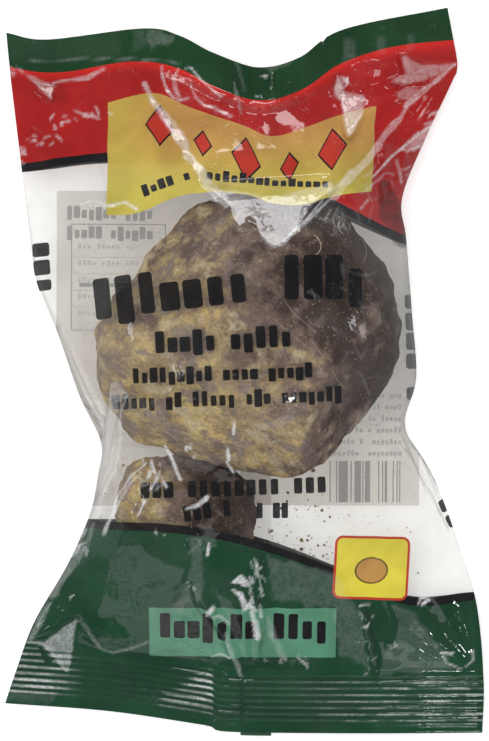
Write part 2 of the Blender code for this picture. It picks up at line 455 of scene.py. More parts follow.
FRONT_WORDS = (
    Words((-31.6, 54.2), 6, 2.7, 2.3, 19.0, 11, (4,)),
    Words((-14.8, 60.0), 8, 2.6, 2.2, -4.0, 12, (0,)),
    Words((5.6, 57.8), 8, 2.6, 2.2, -3.0, 13, ()),
    Words((-46.6, 15.4), 7, 7.0, 8.8, 6.6, 1),
    Words((11.2, 21.6), 4, 6.5, 9.4, 0.6, 4),
    Words((-27.6, 5.2), 11, 3.85, 4.6, 2.9, 2, (5,)),
    Words((-34.6, -4.0), 20, 2.78, 3.2, 2.0, 3, (9, 14)),
    Words((-40.6, -12.0), 26, 2.72, 3.2, 2.2, 6, (5, 8, 14, 18)),
    Words((-32.6, -39.8), 16, 3.65, 5.0, 2.0, 5, (3, 12), 0.0),
    Words((-19.0, -47.0), 5, 3.1, 5.0, 8.0, 8, (3,), 0.0),
    Words((3.4, -45.8), 4, 2.6, 4.8, 0.0, 9, (1,), 0.0),
    Words((-27.4, -84.8), 12, 4.5, 5.8, -0.5, 2, (7,)),
    Words((-67.2, 40.6), 3, 5.6, 5.6, -86.0, 7, (), 0.0),
    Words((50.0, 24.6), 4, 6.2, 4.4, -89.0, 9, (), 0.0),
    Words((50.6, -4.4), 2, 6.0, 3.4, -84.0, 3, (), 0.0),
    Words((60.8, -41.0), 2, 5.4, 3.4, -64.0, 1, (), 0.0),
)
LABEL_WORDS = 11  # the row that is printed on the pale label, and so is a little thinner ink


class FilmPrint(Enum):
    """Which side of the bag a film finish prints."""

    FRONT = "front"
    BACK = "back"


@dataclass(frozen=True)
class PrintLines:
    """The print's long boundaries on the flat film, as (across, along) in millimetres."""

    top_edge: Points
    top_band: float = 10.9
    red_foot: Points = ((-80.0, 65.0), (-70.0, 65.6), (-43.0, 68.4), (-10.0, 66.0), (14.0, 59.5),
                        (28.3, 52.6), (40.0, 47.0), (49.7, 42.9), (62.0, 39.5))
    red_line: float = 2.7
    panel_top: Points = ((-43.0, 84.4), (-33.0, 86.9), (-27.5, 87.2), (-18.2, 83.0), (0.2, 76.6),
                         (8.1, 73.4), (20.0, 76.6), (30.8, 80.6), (41.2, 83.0))
    panel_foot: Points = ((-43.0, 48.4), (-34.0, 48.6), (-29.4, 50.0), (-22.6, 53.0), (-17.8, 54.3),
                          (0.2, 54.5), (8.2, 51.6), (20.0, 51.4), (24.2, 53.0), (38.0, 55.8))
    panel_left: float = -43.0
    panel_right: float = 40.6
    panel_taper: float = 0.055
    green_top: Points = ((-80.0, -46.4), (-49.0, -47.2), (-17.2, -48.4), (5.0, -53.4), (27.2, -61.6),
                         (42.0, -68.2), (53.0, -71.8), (72.0, -70.6), (80.0, -70.0))
    green_line: float = 2.6


@dataclass(frozen=True)
class FilmFinish:
    """Clear packing film with its print, glossy and slightly veiled with sugar dust, and with highlights and fold
    shade painted on where its mark attribute says.
    """

    side: FilmPrint
    lines: PrintLines
    inks: Inks = Inks()
    gloss_roughness: float = 0.05
    head_on_mirror: float = 0.055
    clear_tint: Colour = (0.975, 0.975, 0.968)
    veil: Colour = (0.62, 0.59, 0.57)
    # creased is the painted highlight colour and shaded the painted shade colour that the mark attribute lays on.
    creased: Colour = (0.80, 0.80, 0.82)
    shaded: Colour = (0.030, 0.030, 0.030)
    edge_tint: Colour = (0.62, 0.62, 0.61)

    def layers(self, graph: Graph, groups: Groups, across: Socket, along: Socket) -> tuple[Socket, Socket]:
        """Stacks the printed layers.

        Args:
            graph: The material's tree.
            groups: The shared groups.
            across: The place across the flat film, in millimetres.
            along: The place along it, in millimetres.

        Returns:
            The ink's colour, and how solid it is.
        """
        inks, lines = self.inks, self.lines
        colour: object = inks.beige
        solid: object = 0.0

        def lay(mask: Socket, ink: object, share: float = 1.0) -> None:
            """Prints one more layer over the others."""
            nonlocal colour, solid
            colour = graph.blend(mask, colour, ink)
            over = graph.math("SUBTRACT", share, solid) if isinstance(solid, Socket) else share
            solid = graph.math("MULTIPLY_ADD", mask, over, solid)

        top = graph.curve(across, lines.top_edge)
        below_top = graph.math("SUBTRACT", top, along)
        above_green = graph.math("SUBTRACT", along, graph.curve(across, lines.green_top))
        above_red = graph.math("SUBTRACT", along, graph.curve(across, lines.red_foot))
        if self.side is FilmPrint.BACK:
            self.back_panel(graph, groups, across, along, lay)
        lay(graph.math("LESS_THAN", above_green, 0.0), inks.black, 0.93)
        lay(graph.math("LESS_THAN", above_green, -lines.green_line), inks.bottom_green, 0.965)
        lay(graph.math("GREATER_THAN", above_red, -lines.red_line), inks.black, 0.93)
        near_seal = graph.spread(below_top, lines.top_band, lines.top_band + 4.0, 1.0, 0.0)
        lay(graph.math("GREATER_THAN", above_red, 0.0), graph.blend(near_seal, inks.red, inks.seal_red), 0.975)
        lay(graph.math("LESS_THAN", below_top, lines.top_band), inks.top_green, 0.975)
        if self.side is FilmPrint.FRONT:
            self.front_panels(graph, groups, across, along, lay)
        return colour, solid

    def front_panels(self, graph: Graph, groups: Groups, across: Socket, along: Socket,
                     lay: Callable[..., None]) -> None:
        """The yellow panel with its plain lozenges, the pale label, the badge and the rows of blocks."""
        inks, lines = self.inks, self.lines
        top, foot = graph.curve(across, lines.panel_top), graph.curve(across, lines.panel_foot)
        right = graph.math("MULTIPLY_ADD", graph.math("SUBTRACT", along, 70.0), lines.panel_taper,
                           lines.panel_right)
        panel = graph.product(graph.between(along, foot, top), graph.between(across, lines.panel_left, right))
        share = graph.spread(along, 52.0, 76.0)
        warm = graph.product(share, graph.spread(across, -42.0, -20.0, 0.45, 1.0))
        lay(panel, graph.blend(warm, inks.panel_low, inks.panel_high), 0.96)
        for number in range(5):
            centre = -26.5 + 13.5 * number
            size = 4.7 if number % 2 == 0 else 3.0
            drop = graph.math("SUBTRACT", graph.math("SUBTRACT", top, 10.2), along)
            reach = graph.total(graph.math("ABSOLUTE", graph.math("SUBTRACT", across, centre)),
                                graph.product(graph.math("ABSOLUTE", drop), 0.7))
            lay(graph.math("LESS_THAN", reach, size), inks.black, 0.96)
            lay(graph.math("LESS_THAN", reach, size - 0.55), inks.panel_mark, 0.96)
        label = groups.plate.place(graph, {
            "Across": across, "Along": along, "Start Across": -0.6, "Start Along": -83.0,
            "Tilt": math.radians(-0.4), "Half Width": 29.6, "Half Height": 8.1, "Corner": 0.4}).outputs[0]
        lay(graph.math("LESS_THAN", label, 0.0), inks.label, 0.95)
        badge = groups.plate.place(graph, {
            "Across": across, "Along": along, "Start Across": 40.0, "Start Along": -62.2,
            "Tilt": math.radians(-2.5), "Half Width": 12.0, "Half Height": 10.2, "Corner": 2.6}).outputs[0]
        lay(graph.math("LESS_THAN", badge, 0.0), inks.badge_rim, 0.98)
        lay(graph.math("LESS_THAN", badge, -0.8), inks.badge, 0.98)
        disc = graph.math("SQRT", graph.total(
            graph.math("POWER", graph.math("SUBTRACT", across, 40.0), 2.0),
            graph.product(graph.math("POWER", graph.math("SUBTRACT", along, -63.0), 2.0), 1.6)))
        lay(graph.math("LESS_THAN", disc, 5.4), inks.badge_mark, 0.98)
        lay(graph.math("LESS_THAN", disc, 4.8), inks.panel_high, 0.98)
        for number, words in enumerate(FRONT_WORDS):
            ink = groups.word_row.place(graph, words.inputs(across, along)).outputs[0]
            lay(ink, inks.black, 0.90 if number == LABEL_WORDS else 0.96)

    def back_panel(self, graph: Graph, groups: Groups, across: Socket, along: Socket,
                   lay: Callable[..., None]) -> None:
        """The beige panel on the back: a ruled table at the left, rows at the right, and a bar field."""
        inks = self.inks

        def plate(x: float, y: float, half_x: float, half_y: float, corner: float = 0.3) -> Socket:
            """How far each place is outside a rectangle."""
            return groups.plate.place(graph, {
                "Across": across, "Along": along, "Start Across": x, "Start Along": y,
                "Half Width": half_x, "Half Height": half_y, "Corner": corner}).outputs[0]

        lay(graph.math("LESS_THAN", plate(-2.0, 7.0, 57.5, 50.0), 0.0), inks.beige, 0.42)
        table = plate(-40.0, 29.6, 15.0, 17.0)
        lay(graph.between(table, -0.35, 0.0), inks.black, 0.6)
        inside = graph.math("LESS_THAN", table, -0.4)
        rules = graph.math("LESS_THAN", graph.math("FRACT", graph.math("MULTIPLY_ADD", along, 0.19, 0.2)), 0.045)
        lay(graph.product(rules, inside, graph.math("LESS_THAN", along, 40.0)), inks.black, 0.45)
        lay(graph.product(graph.between(across, -52.4, -36.0), graph.between(along, 26.5, 27.8)), inks.black, 0.6)
        for number in range(6):
            words = Words((-53.0, 38.6 - 5.26 * number), 13, 1.5, 1.15, 0.0, 20 + number, (3 + number, 9))
            lay(groups.word_row.place(graph, words.inputs(across, along)).outputs[0], inks.black, 0.42)
        for number in range(6):
            words = Words((27.0, -8.6 - 3.7 * number), 17, 1.35, 1.2, 0.0, 30 + number, (2 + number, 8, 13 - number))
            lay(groups.word_row.place(graph, words.inputs(across, along)).outputs[0], inks.black, 0.5)
        for number in range(2):
            words = Words((-56.6, 48.4 - 6.4 * number), 12, 2.3, 2.7, -0.6, 40 + number, (7 - 2 * number,))
            lay(groups.word_row.place(graph, words.inputs(across, along)).outputs[0], inks.black, 0.6)
        field_mask = graph.math("LESS_THAN", plate(39.0, -35.4, 12.5, 6.6), 0.0)
        key = graph.math("FLOOR", graph.product(across, 2.4))
        bars = graph.node("TexWhiteNoise", {"W": key}, noise_dimensions="1D").outputs["Value"]
        lay(graph.product(field_mask, graph.math("GREATER_THAN", bars, 0.48)), inks.black, 0.62)

    def material(self, groups: Groups) -> bpy.types.Material:
        """Builds the finish."""
        made = bpy.data.materials.new("printed_film_" + self.side.value)
        made.use_nodes = True
        graph = Graph(made.node_tree)
        flat = graph.node("UVMap", uv_map=FLAT_MAP).outputs[0]
        parts = graph.node("SeparateXYZ", {0: flat})
        across = graph.math("MULTIPLY_ADD", parts.outputs[0], FLAT_WIDTH, -FLAT_WIDTH / 2)
        along = graph.math("MULTIPLY_ADD", parts.outputs[1], FLAT_LENGTH, -FLAT_LENGTH / 2)
        colour, solid = self.layers(graph, groups, across, along)
        metres = graph.node("CombineXYZ", {0: graph.product(across, MM), 1: graph.product(along, MM)}).outputs[0]
        height = groups.crinkle.place(graph, {
            "Place": metres, "Waves": 0.35, "Creases": 0.34, "Grain": 0.02}).outputs[0]
        bump = graph.node("Bump", {"Strength": 0.5, "Distance": 0.6 * MM, "Height": height}).outputs[0]
        facing = graph.node("LayerWeight", {"Blend": 0.5, "Normal": bump}).outputs["Facing"]
        mirror = graph.math("MULTIPLY_ADD", graph.math("POWER", facing, 5.0), 1 - self.head_on_mirror,
                            self.head_on_mirror, clamp=True)
        smudge = graph.noise(metres, 22 * MM, 3.0, 0.6, 0.4)
        # Painted shade: soft random darker and lighter bands multiplied into the ink colour.
        painted_shading = graph.spread(graph.noise(metres, 17 * MM, 2.0, 0.5, 0.5), 0.34, 0.66, 0.84, 1.08)
        shade = graph.node("CombineColor", {0: painted_shading, 1: painted_shading, 2: painted_shading}).outputs[0]
        shown = graph.blend(1.0, colour, shade, "MULTIPLY")
        tone = graph.blend(graph.spread(smudge, 0.3, 0.75, 0.0, 0.012), shown, self.veil)
        ink = graph.node("BsdfPrincipled", {
            "Base Color": tone, "Roughness": 0.42, "Specular IOR Level": 0.15, "Normal": bump})
        veil = graph.node("BsdfDiffuse", {"Color": self.veil, "Normal": bump})
        through = graph.blend(graph.math("POWER", facing, 2.5), self.clear_tint, self.edge_tint)
        clear = graph.node("BsdfTransparent", {"Color": through})
        dusty = graph.spread(smudge, 0.38, 0.72, 0.015, 0.065)
        hazed = graph.node("MixShader", {0: dusty, 1: clear.outputs[0], 2: veil.outputs[0]})
        plain = graph.node("MixShader", {0: solid, 1: hazed.outputs[0], 2: ink.outputs[0]})
        # Painted light: above 0 the mark attribute mixes in a pale diffuse painted highlight, below 0 a dark painted
        # fold shade.
        marks = graph.node("Attribute", attribute_name=PAINTED_LIGHT_MARKS).outputs["Fac"]
        broken = graph.spread(graph.noise(metres, 1.3 * MM, 3.0, 0.65, 1.2), 0.36, 0.60, 0.55, 1.12)
        creased = graph.node("BsdfDiffuse", {"Color": self.creased, "Normal": bump})
        highlighted = graph.node("MixShader", {0: graph.math("MULTIPLY", marks, broken, clamp=True),
                                         1: plain.outputs[0], 2: creased.outputs[0]})
        shaded = graph.node("BsdfDiffuse", {"Color": self.shaded, "Normal": bump})
        printed = graph.node("MixShader", {0: graph.math("MULTIPLY", marks, -1.0, clamp=True),
                                           1: highlighted.outputs[0], 2: shaded.outputs[0]})
        gloss = graph.node("BsdfGlossy", {"Color": (1.0, 1.0, 1.0), "Roughness": self.gloss_roughness,
                                          "Normal": bump})
        whole = graph.node("MixShader", {0: mirror, 1: printed.outputs[0], 2: gloss.outputs[0]})
        output = graph.node("OutputMaterial")
        graph.put(output.inputs["Surface"], whole.outputs[0])
        return made


@dataclass(frozen=True)
class SugarFinish:
    """Pressed jaggery: a grainy brown that runs from dark to yellow-tan in patches."""

    name: str
    dark: Colour = (0.052, 0.028, 0.021)
    brown: Colour = (0.190, 0.126, 0.100)
    tan: Colour = (0.41, 0.295, 0.155)
    yellow: Colour = (0.62, 0.46, 0.20)
    mauve: Colour = (0.245, 0.190, 0.185)
    cream: Colour = (0.60, 0.50, 0.335)
    crystal: Colour = (0.60, 0.53, 0.40)
    lean: float = 0.0
    yellow_side: tuple[float, float, float] = (-1.0, -0.5, 0.0)
    middle: tuple[float, float, float] = (0.0, 0.0, 0.0)
    reach: float = 0.05

    def material(self, groups: Groups) -> bpy.types.Material:
        """Builds the finish."""
        made = bpy.data.materials.new(self.name)
        made.use_nodes = True
        graph = Graph(made.node_tree)
        place = graph.node("TexCoord").outputs["Object"]
        sugar = groups.sugar.place(graph, {"Place": place})
        # The skin turns paler towards yellow_side and darker away from it.
        away = graph.node("VectorMath", {0: place, 1: self.middle}, operation="SUBTRACT").outputs[0]
        side = graph.node("VectorMath", {0: away, 1: self.yellow_side}, operation="DOT_PRODUCT").outputs["Value"]
        turn = graph.spread(side, -0.75 * self.reach, 0.55 * self.reach, -0.165, 0.112)
        pale = graph.total(sugar.outputs["Pale"], turn, self.lean)
        colour = graph.blend(graph.spread(pale, 0.32, 0.47), self.dark, self.brown)
        colour = graph.blend(graph.spread(pale, 0.47, 0.575), colour, self.tan)
        colour = graph.blend(graph.spread(pale, 0.575, 0.68), colour, self.yellow)
        light_side = graph.spread(pale, 0.38, 0.55)
        colour = graph.blend(graph.product(graph.spread(sugar.outputs["Stain"], 0.50, 0.60), light_side, 0.72),
                             colour, self.mauve)
        colour = graph.blend(graph.product(graph.spread(sugar.outputs["Stain"], 0.36, 0.46, 0.62, 0.0), light_side),
                             colour, self.cream)
        fine = graph.spread(sugar.outputs["Grains"], 0.3, 0.72, 0.74, 1.22)
        colour = graph.blend(1.0, colour, graph.node("CombineColor", {0: fine, 1: fine, 2: fine}).outputs[0],
                             "MULTIPLY")
        colour = graph.blend(graph.product(sugar.outputs["Crystals"], 0.55), colour, self.crystal)
        bump = graph.node("Bump", {"Strength": 0.9, "Distance": 0.9 * MM, "Height": sugar.outputs["Height"]})
        rough = graph.spread(sugar.outputs["Grains"], 0.3, 0.7, 0.5, 0.85)
        shader = graph.node("BsdfPrincipled", {
            "Base Color": colour, "Roughness": rough, "Specular IOR Level": 0.35, "Normal": bump.outputs[0]})
        output = graph.node("OutputMaterial")
        graph.put(output.inputs["Surface"], shader.outputs[0])
        return made


@dataclass(frozen=True)
class FloorFinish:
    """A plain white sheet, lit a little from below so that it stays pale under the bag.

    Glossy film mirrors it as a dim room, so that its flanks and folds keep their ink's colour.
    """

    colour: Colour = (0.86, 0.86, 0.86)
    glow: float = 0.45
    mirrored: float = 0.22

    def material(self) -> bpy.types.Material:
        """Builds the finish."""
        made = bpy.data.materials.new("floor_sheet")
        made.use_nodes = True
        graph = Graph(made.node_tree)
        place = graph.node("TexCoord").outputs["Object"]
        shade = graph.spread(graph.noise(place, 0.3), 0.2, 0.8, 0.985, 1.0)
        colour = graph.blend(1.0, self.colour, graph.node("CombineColor", {0: shade, 1: shade, 2: shade}).outputs[0],
                             "MULTIPLY")
        in_film = graph.node("LightPath").outputs["Is Glossy Ray"]
        dimmed = graph.math("MULTIPLY_ADD", in_film, self.mirrored - 1, 1.0)
        dim = graph.node("CombineColor", {0: dimmed, 1: dimmed, 2: dimmed}).outputs[0]
        shader = graph.node("BsdfPrincipled", {
            "Base Color": graph.blend(1.0, colour, dim, "MULTIPLY"), "Roughness": 0.9,
            "Specular IOR Level": 0.0, "Emission Color": (1.0, 1.0, 1.0),
            "Emission Strength": graph.product(dimmed, self.glow)})
        output = graph.node("OutputMaterial")
        graph.put(output.inputs["Surface"], shader.outputs[0])
        return made


# ---- Shared mesh work ---------------------------------------------------------------------------------


def add_piece(name: str, mesh: bmesh.types.BMesh, material: bpy.types.Material | None,
              smooth: bool = True) -> bpy.types.Object:
    """Turns a bmesh into an object at the origin.

    Args:
        name: The object's name.
        mesh: The bmesh, which is freed.
        material: Its finish, or None for a helper.
        smooth: Whether its faces are shaded smooth.

    Returns:
        The object.
    """
    data = bpy.data.meshes.new(name)
    mesh.to_mesh(data)
    mesh.free()
    if material is not None:
        data.materials.append(material)
    data.shade_smooth() if smooth else data.shade_flat()
    made = bpy.data.objects.new(name, data)
    bpy.context.scene.collection.objects.link(made)
    return made


def points_of(data: bpy.types.Mesh) -> np.ndarray:
    """A mesh's vertices as an array."""
    flat = np.empty(len(data.vertices) * 3, np.float32)
    data.vertices.foreach_get("co", flat)
    return flat.reshape(-1, 3).astype(float)


def move_points(data: bpy.types.Mesh, points: np.ndarray) -> None:
    """Puts a mesh's vertices at these places."""
    data.vertices.foreach_set("co", points.astype(np.float32).ravel())
    data.update()


class Surface:
    """Finds the height of a mesh above or below a place."""

    def __init__(self, *things: bpy.types.Object) -> None:
        """Reads the meshes."""
        mesh = bmesh.new()
        for thing in things:
            mesh.from_mesh(thing.data)
        self.tree = BVHTree.FromBMesh(mesh)
        mesh.free()

    def top(self, x: float, y: float, missed: float = 0.0) -> float:
        """The highest point over a place, or missed where there is none."""
        hit = self.tree.ray_cast(Vector((x, y, 1.0)), Vector((0, 0, -1)))
        return hit[0].z if hit[0] is not None else missed

    def foot(self, x: float, y: float, missed: float = 0.0) -> float:
        """The lowest point over a place, or missed where there is none."""
        hit = self.tree.ray_cast(Vector((x, y, -1.0)), Vector((0, 0, 1)))
        return hit[0].z if hit[0] is not None else missed


# ---- The bag's plan -----------------------------------------------------------------------------------


@dataclass(frozen=True)
class BagPlan:
    """The bag's outline seen from the front, as the solid has it, in millimetres."""

    left: Points = (
        (-76.3, -105.8), (-73.0, -96.0), (-67.0, -80.0), (-56.0, -61.0), (-49.0, -45.0), (-46.5, -33.0),
        (-45.4, -22.5), (-52.0, -8.0), (-58.5, 11.0), (-65.5, 28.0), (-68.0, 44.0), (-71.0, 68.0),
        (-74.6, 96.0), (-75.8, 108.0))
    right: Points = (
        (76.0, -115.2), (76.4, -98.0), (74.0, -74.0), (68.0, -54.0), (59.5, -32.0), (51.0, -17.5),
        (54.4, -2.0), (53.0, 18.0), (51.2, 42.0), (50.0, 55.0), (57.5, 74.0), (66.0, 92.0),
        (67.8, 98.0), (64.8, 116.0))
    top: Points = (
        (-75.8, 108.0), (-62.5, 105.6), (-32.0, 108.6), (-20.5, 106.2), (-9.5, 100.6), (4.5, 96.2),
        (17.5, 99.4), (31.0, 108.2), (64.8, 116.0))
    bottom: Points = ((-76.3, -105.8), (-43.0, -108.2), (-13.0, -112.6), (0.0, -115.0), (76.0, -115.2))
    top_seal: float = 11.0
    bottom_seal: float = 18.4
    crimps: int = 8

    def length(self) -> float:
        """The bag's length down its left side."""
        return self.top[0][1] - self.bottom[0][1]

    def grid(self, columns: int, foot_rows: int, body_rows: int, head_rows: int) -> np.ndarray:
        """Places of a film's grid on the plan.

        Args:
            columns: Faces across.
            foot_rows: Rows of faces in the bottom seal.
            body_rows: Rows between the seals.
            head_rows: Rows in the top seal.

        Returns:
            x, y in millimetres and the share of the bag's length, by row, column and kind.
        """
        foot, head = self.bottom_seal / self.length(), 1 - self.top_seal / self.length()
        share = np.concatenate([
            np.linspace(0, foot, foot_rows, endpoint=False),
            np.linspace(foot, head, body_rows, endpoint=False),
            np.linspace(head, 1, head_rows + 1)])[:, None]
        across = np.linspace(0, 1, columns + 1)[None, :]
        left_y = np.interp(share, (0, 1), (self.bottom[0][1], self.top[0][1]))
        right_y = np.interp(share, (0, 1), (self.bottom[-1][1], self.top[-1][1]))
        x = line_along(self.left, 1)(left_y) * (1 - across) + line_along(self.right, 1)(right_y) * across
        straight = left_y * (1 - across) + right_y * across
        top_bend = line_along(self.top, 0)(x[-1]) - straight[-1]
        foot_bend = line_along(self.bottom, 0)(x[0]) - straight[0]
        y = straight + top_bend * share**4 + foot_bend * (1 - share) ** 4
        return np.dstack([x, y, share * np.ones_like(x)])


def centring() -> Vector:
    """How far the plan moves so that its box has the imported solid's middle, in metres."""
    grid = BagPlan().grid(60, 8, 60, 8)[:, :, :2].reshape(-1, 2) * MM
    low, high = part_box(BAG_NODE)
    middle = (grid.min(0) + grid.max(0)) / 2
    return Vector(((low.x + high.x) / 2 - middle[0], (low.y + high.y) / 2 - middle[1], 0.0))


# ---- The lumps ----------------------------------------------------------------------------------------


@dataclass
class Lump:
    """A pressed or broken lump of jaggery: a rounded body, flattened in places, with a rough skin."""

    name: str
    middle: tuple[float, float]
    radii: Points
    height: float
    squareness: float
    facets: Sequence[tuple[tuple[float, float, float], float]]
    finish: SugarFinish
    lift: float = 1.0
    lumpiness: float = 1.5
    roughness: float = 0.55
    seed: float = 0.0
    shift: Vector = field(default_factory=Vector)

    def reach(self, angle: float) -> float:
        """The body's half width seen from the front, in a direction, in millimetres."""
        angles = [a for a, _ in self.radii] + [self.radii[0][0] + 360]
        values = [r for _, r in self.radii] + [self.radii[0][1]]
        turn = (angle - angles[0]) % 360 + angles[0]
        spot = float(np.interp(turn, angles, np.arange(len(angles))))
        start = min(int(spot), len(values) - 2)
        along = spot - start
        ease = along * along * (3 - 2 * along)
        return values[start] * (1 - ease) + values[start + 1] * ease

    def skin(self, detail: int) -> bmesh.types.BMesh:
        """The lump as a bmesh.

        Args:
            detail: How many times the starting sphere is divided.

        Returns:
            The closed mesh, in metres, in the bag's frame.
        """
        mesh = bmesh.new()
        bmesh.ops.create_icosphere(mesh, subdivisions=detail, radius=1.0)
        power = self.squareness
        half = self.height / 2
        centre = Vector((self.middle[0], self.middle[1], half + self.lift))
        offset = Vector((self.seed, -self.seed, self.seed * 0.5))
        for vertex in mesh.verts:
            way = vertex.co.normalized()
            level = math.hypot(way.x, way.y)
            size = (level**power + abs(way.z) ** power) ** (-1 / power)
            wide = self.reach(math.degrees(math.atan2(way.y, way.x)))
            place = Vector((way.x * size * wide, way.y * size * wide, way.z * size * half))
            for normal, distance in self.facets:
                flat = Vector(normal).normalized()
                over = place.dot(flat) - distance
                if over > 0:
                    place -= flat * over * 0.88
            rough = noise.fractal((place + offset) / 17, 0.9, 2.0, 3) * self.lumpiness
            rough += noise.fractal((place - offset) / 4.6, 0.8, 2.1, 3) * self.roughness
            rough += noise.noise((place + offset) / 1.5) * self.roughness * 0.3
            place += way * (rough - self.lumpiness * 0.6)
            vertex.co = (centre + place) * MM + self.shift
        bmesh.ops.recalc_face_normals(mesh, faces=mesh.faces[:])
        return mesh

    def build(self, groups: Groups) -> bpy.types.Object:
        """Makes the finished piece."""
        made = add_piece(self.name, self.skin(7), self.finish.material(groups))
        log.info("%s: %d faces", self.name, len(made.data.polygons))
        return made


# ---- The lights ---------------------------------------------------------------------------------------


@dataclass(frozen=True)
class Softbox:
    """A rectangular light: where it hangs, what it points at, its size and its power."""

    place: tuple[float, float, float]
    size: tuple[float, float]
    power: float
    aim: tuple[float, float, float] = (0.0, 0.0, 0.02)
    seen: bool = True

    def build(self, name: str) -> None:
        """Hangs the light."""
        lamp = bpy.data.lights.new("softbox_" + name, "AREA")
        lamp.shape = "RECTANGLE"
        lamp.size, lamp.size_y = self.size
        lamp.energy = self.power
        made = bpy.data.objects.new("softbox_" + name, lamp)
        made.location = self.place
        made.visible_glossy = self.seen
        way = Vector(self.aim) - Vector(self.place)
        made.rotation_euler = way.to_track_quat("-Z", "Y").to_euler()
        bpy.context.scene.collection.objects.link(made)


def box_towards(tilt: float, turn: float, size: tuple[float, float], radiance: float,
                away: float = 1.25) -> Softbox:
    """Hangs a light by direction.

    Args:
        tilt: Degrees down from straight overhead.
        turn: Degrees round from +X towards +Y.
        size: Its width and height, in metres.
        radiance: How bright its face is, where a white floor in full light is 1.
        away: Its distance from the bag, in metres.

    Returns:
        The light.
    """
    level, round_z = math.radians(90 - tilt), math.radians(turn)
    place = (away * math.cos(level) * math.cos(round_z), away * math.cos(level) * math.sin(round_z),
             away * math.sin(level) + 0.02)
    return Softbox(place, size, math.pi * size[0] * size[1] * radiance)


LIGHTS = {
    "back": box_towards(84.0, 84.0, (0.42, 0.18), 5.6),
    "high": box_towards(48.0, 78.0, (0.20, 0.16), 3.6),
    "corner": box_towards(47.0, 8.0, (0.14, 0.14), 5.0),
    "right": box_towards(57.0, 3.0, (0.16, 0.16), 2.2),
    "left": box_towards(62.0, 177.0, (0.16, 0.14), 4.0),
    "low_left": box_towards(28.0, -150.0, (0.12, 0.12), 4.0),
    "front": box_towards(81.0, -120.0, (1.3, 0.42), 0.6),
    "front_high": box_towards(46.0, -76.0, (0.34, 0.16), 0.9),
    "spark": box_towards(30.0, -62.0, (0.07, 0.07), 40.0),
    "fill": Softbox((-0.35, 0.25, 1.9), (1.6, 1.6), 22.0, seen=False),
}


# ---- The film -----------------------------------------------------------------------------------------


@dataclass(frozen=True)
class Crease:
    """A straight fold in the film: a sharp or soft ridge that fades out at both ends, in millimetres."""

    start: tuple[float, float]
    end: tuple[float, float]
    height: float
    width: float
    bend: float = 0.0

    def lift(self, x: np.ndarray, y: np.ndarray) -> np.ndarray:
        """How far it raises the film at each place."""
        start, end = np.array(self.start), np.array(self.end)
        run = end - start
        length = np.linalg.norm(run)
        along = ((x - start[0]) * run[0] + (y - start[1]) * run[1]) / length**2
        aside = ((x - start[0]) * run[1] - (y - start[1]) * run[0]) / length
        aside = aside - self.bend * 4 * along * (1 - along)
        fade = soft_step(along, 0.0, 0.25) * soft_step(1 - along, 0.0, 0.25)
        profile = np.clip(1 - np.abs(aside) / self.width, 0, 1) ** 1.25
        return self.height * fade * profile


@dataclass(frozen=True)
class Fan:
    """Folds that spread from one point: a zigzag in angle that grows and then fades with distance."""

    apex: tuple[float, float]
    towards: float
    spread: float
    count: float
    reach: float
    height: float
    seed: int

    def lift(self, x: np.ndarray, y: np.ndarray) -> np.ndarray:
        """How far it raises the film at each place."""
        dx, dy = x - self.apex[0], y - self.apex[1]
        distance = np.hypot(dx, dy)
        angle = (np.degrees(np.arctan2(dy, dx)) - self.towards + 180) % 360 - 180
        sway = ripple(x, y, 13.0, self.seed) * 0.30
        folds = tent(angle / self.spread * self.count + sway + 0.13 * self.seed)
        inside = soft_step(self.spread / 2 - np.abs(angle), 0.0, self.spread * 0.22)
        near = soft_step(distance, 1.0, self.reach * 0.35)
        far = soft_step(self.reach - distance, 0.0, self.reach * 0.5)
        return self.height * folds * inside * near * far * (0.65 + 0.35 * ripple(x, y, 9.0, self.seed + 5))


FANS = (
    Fan((-74.0, 96.0), -48.0, 70.0, 3.4, 62.0, 0.55, 1),
    Fan((67.0, 97.0), -138.0, 74.0, 5.0, 60.0, 0.6, 2),
    Fan((4.0, 97.0), -92.0, 120.0, 5.2, 30.0, 0.4, 3),
    Fan((-46.0, -23.0), -20.0, 130.0, 5.5, 30.0, 0.5, 4),
    Fan((51.0, -18.0), 200.0, 130.0, 5.0, 30.0, 0.5, 5),
    Fan((-75.0, -92.0), 45.0, 70.0, 3.2, 46.0, 0.7, 6),
    Fan((74.0, -96.0), 130.0, 70.0, 3.6, 50.0, 0.5, 7),
    Fan((2.0, -97.0), 92.0, 90.0, 4.0, 40.0, 0.7, 8),
)

FRONT_CREASES = (
    Crease((-59.0, 13.0), (-43.0, -19.0), 1.3, 1.5, 1.0),
    Crease((-56.5, 12.0), (-41.0, -18.0), 1.0, 1.2, 1.0),
    Crease((-39.0, -3.0), (-47.0, -37.0), 1.3, 1.6),
    Crease((-36.0, -8.0), (-50.0, -52.0), 0.9, 2.4),
    Crease((-54.0, -48.0), (-49.0, -59.0), 0.8, 1.0),
    Crease((50.0, -15.0), (62.0, -44.0), 1.2, 1.4),
    Crease((47.5, -18.0), (58.0, -42.0), 0.9, 1.3),
    Crease((-17.0, -66.0), (-1.0, -98.0), 1.2, 2.2, -1.5),
    Crease((-54.0, -79.5), (-43.5, -91.0), 0.7, 2.0),
    Crease((-3.4, 91.0), (-1.0, 78.0), 0.8, 1.0),
    Crease((2.4, -58.0), (4.6, -95.0), 0.9, 1.4),
    Crease((37.0, -74.0), (43.0, -96.0), 0.9, 1.6),
    Crease((-51.4, 52.3), (-37.0, 51.4), 0.7, 1.4),
    Crease((-18.0, 59.0), (34.0, 63.0), -1.6, 8.0),
)


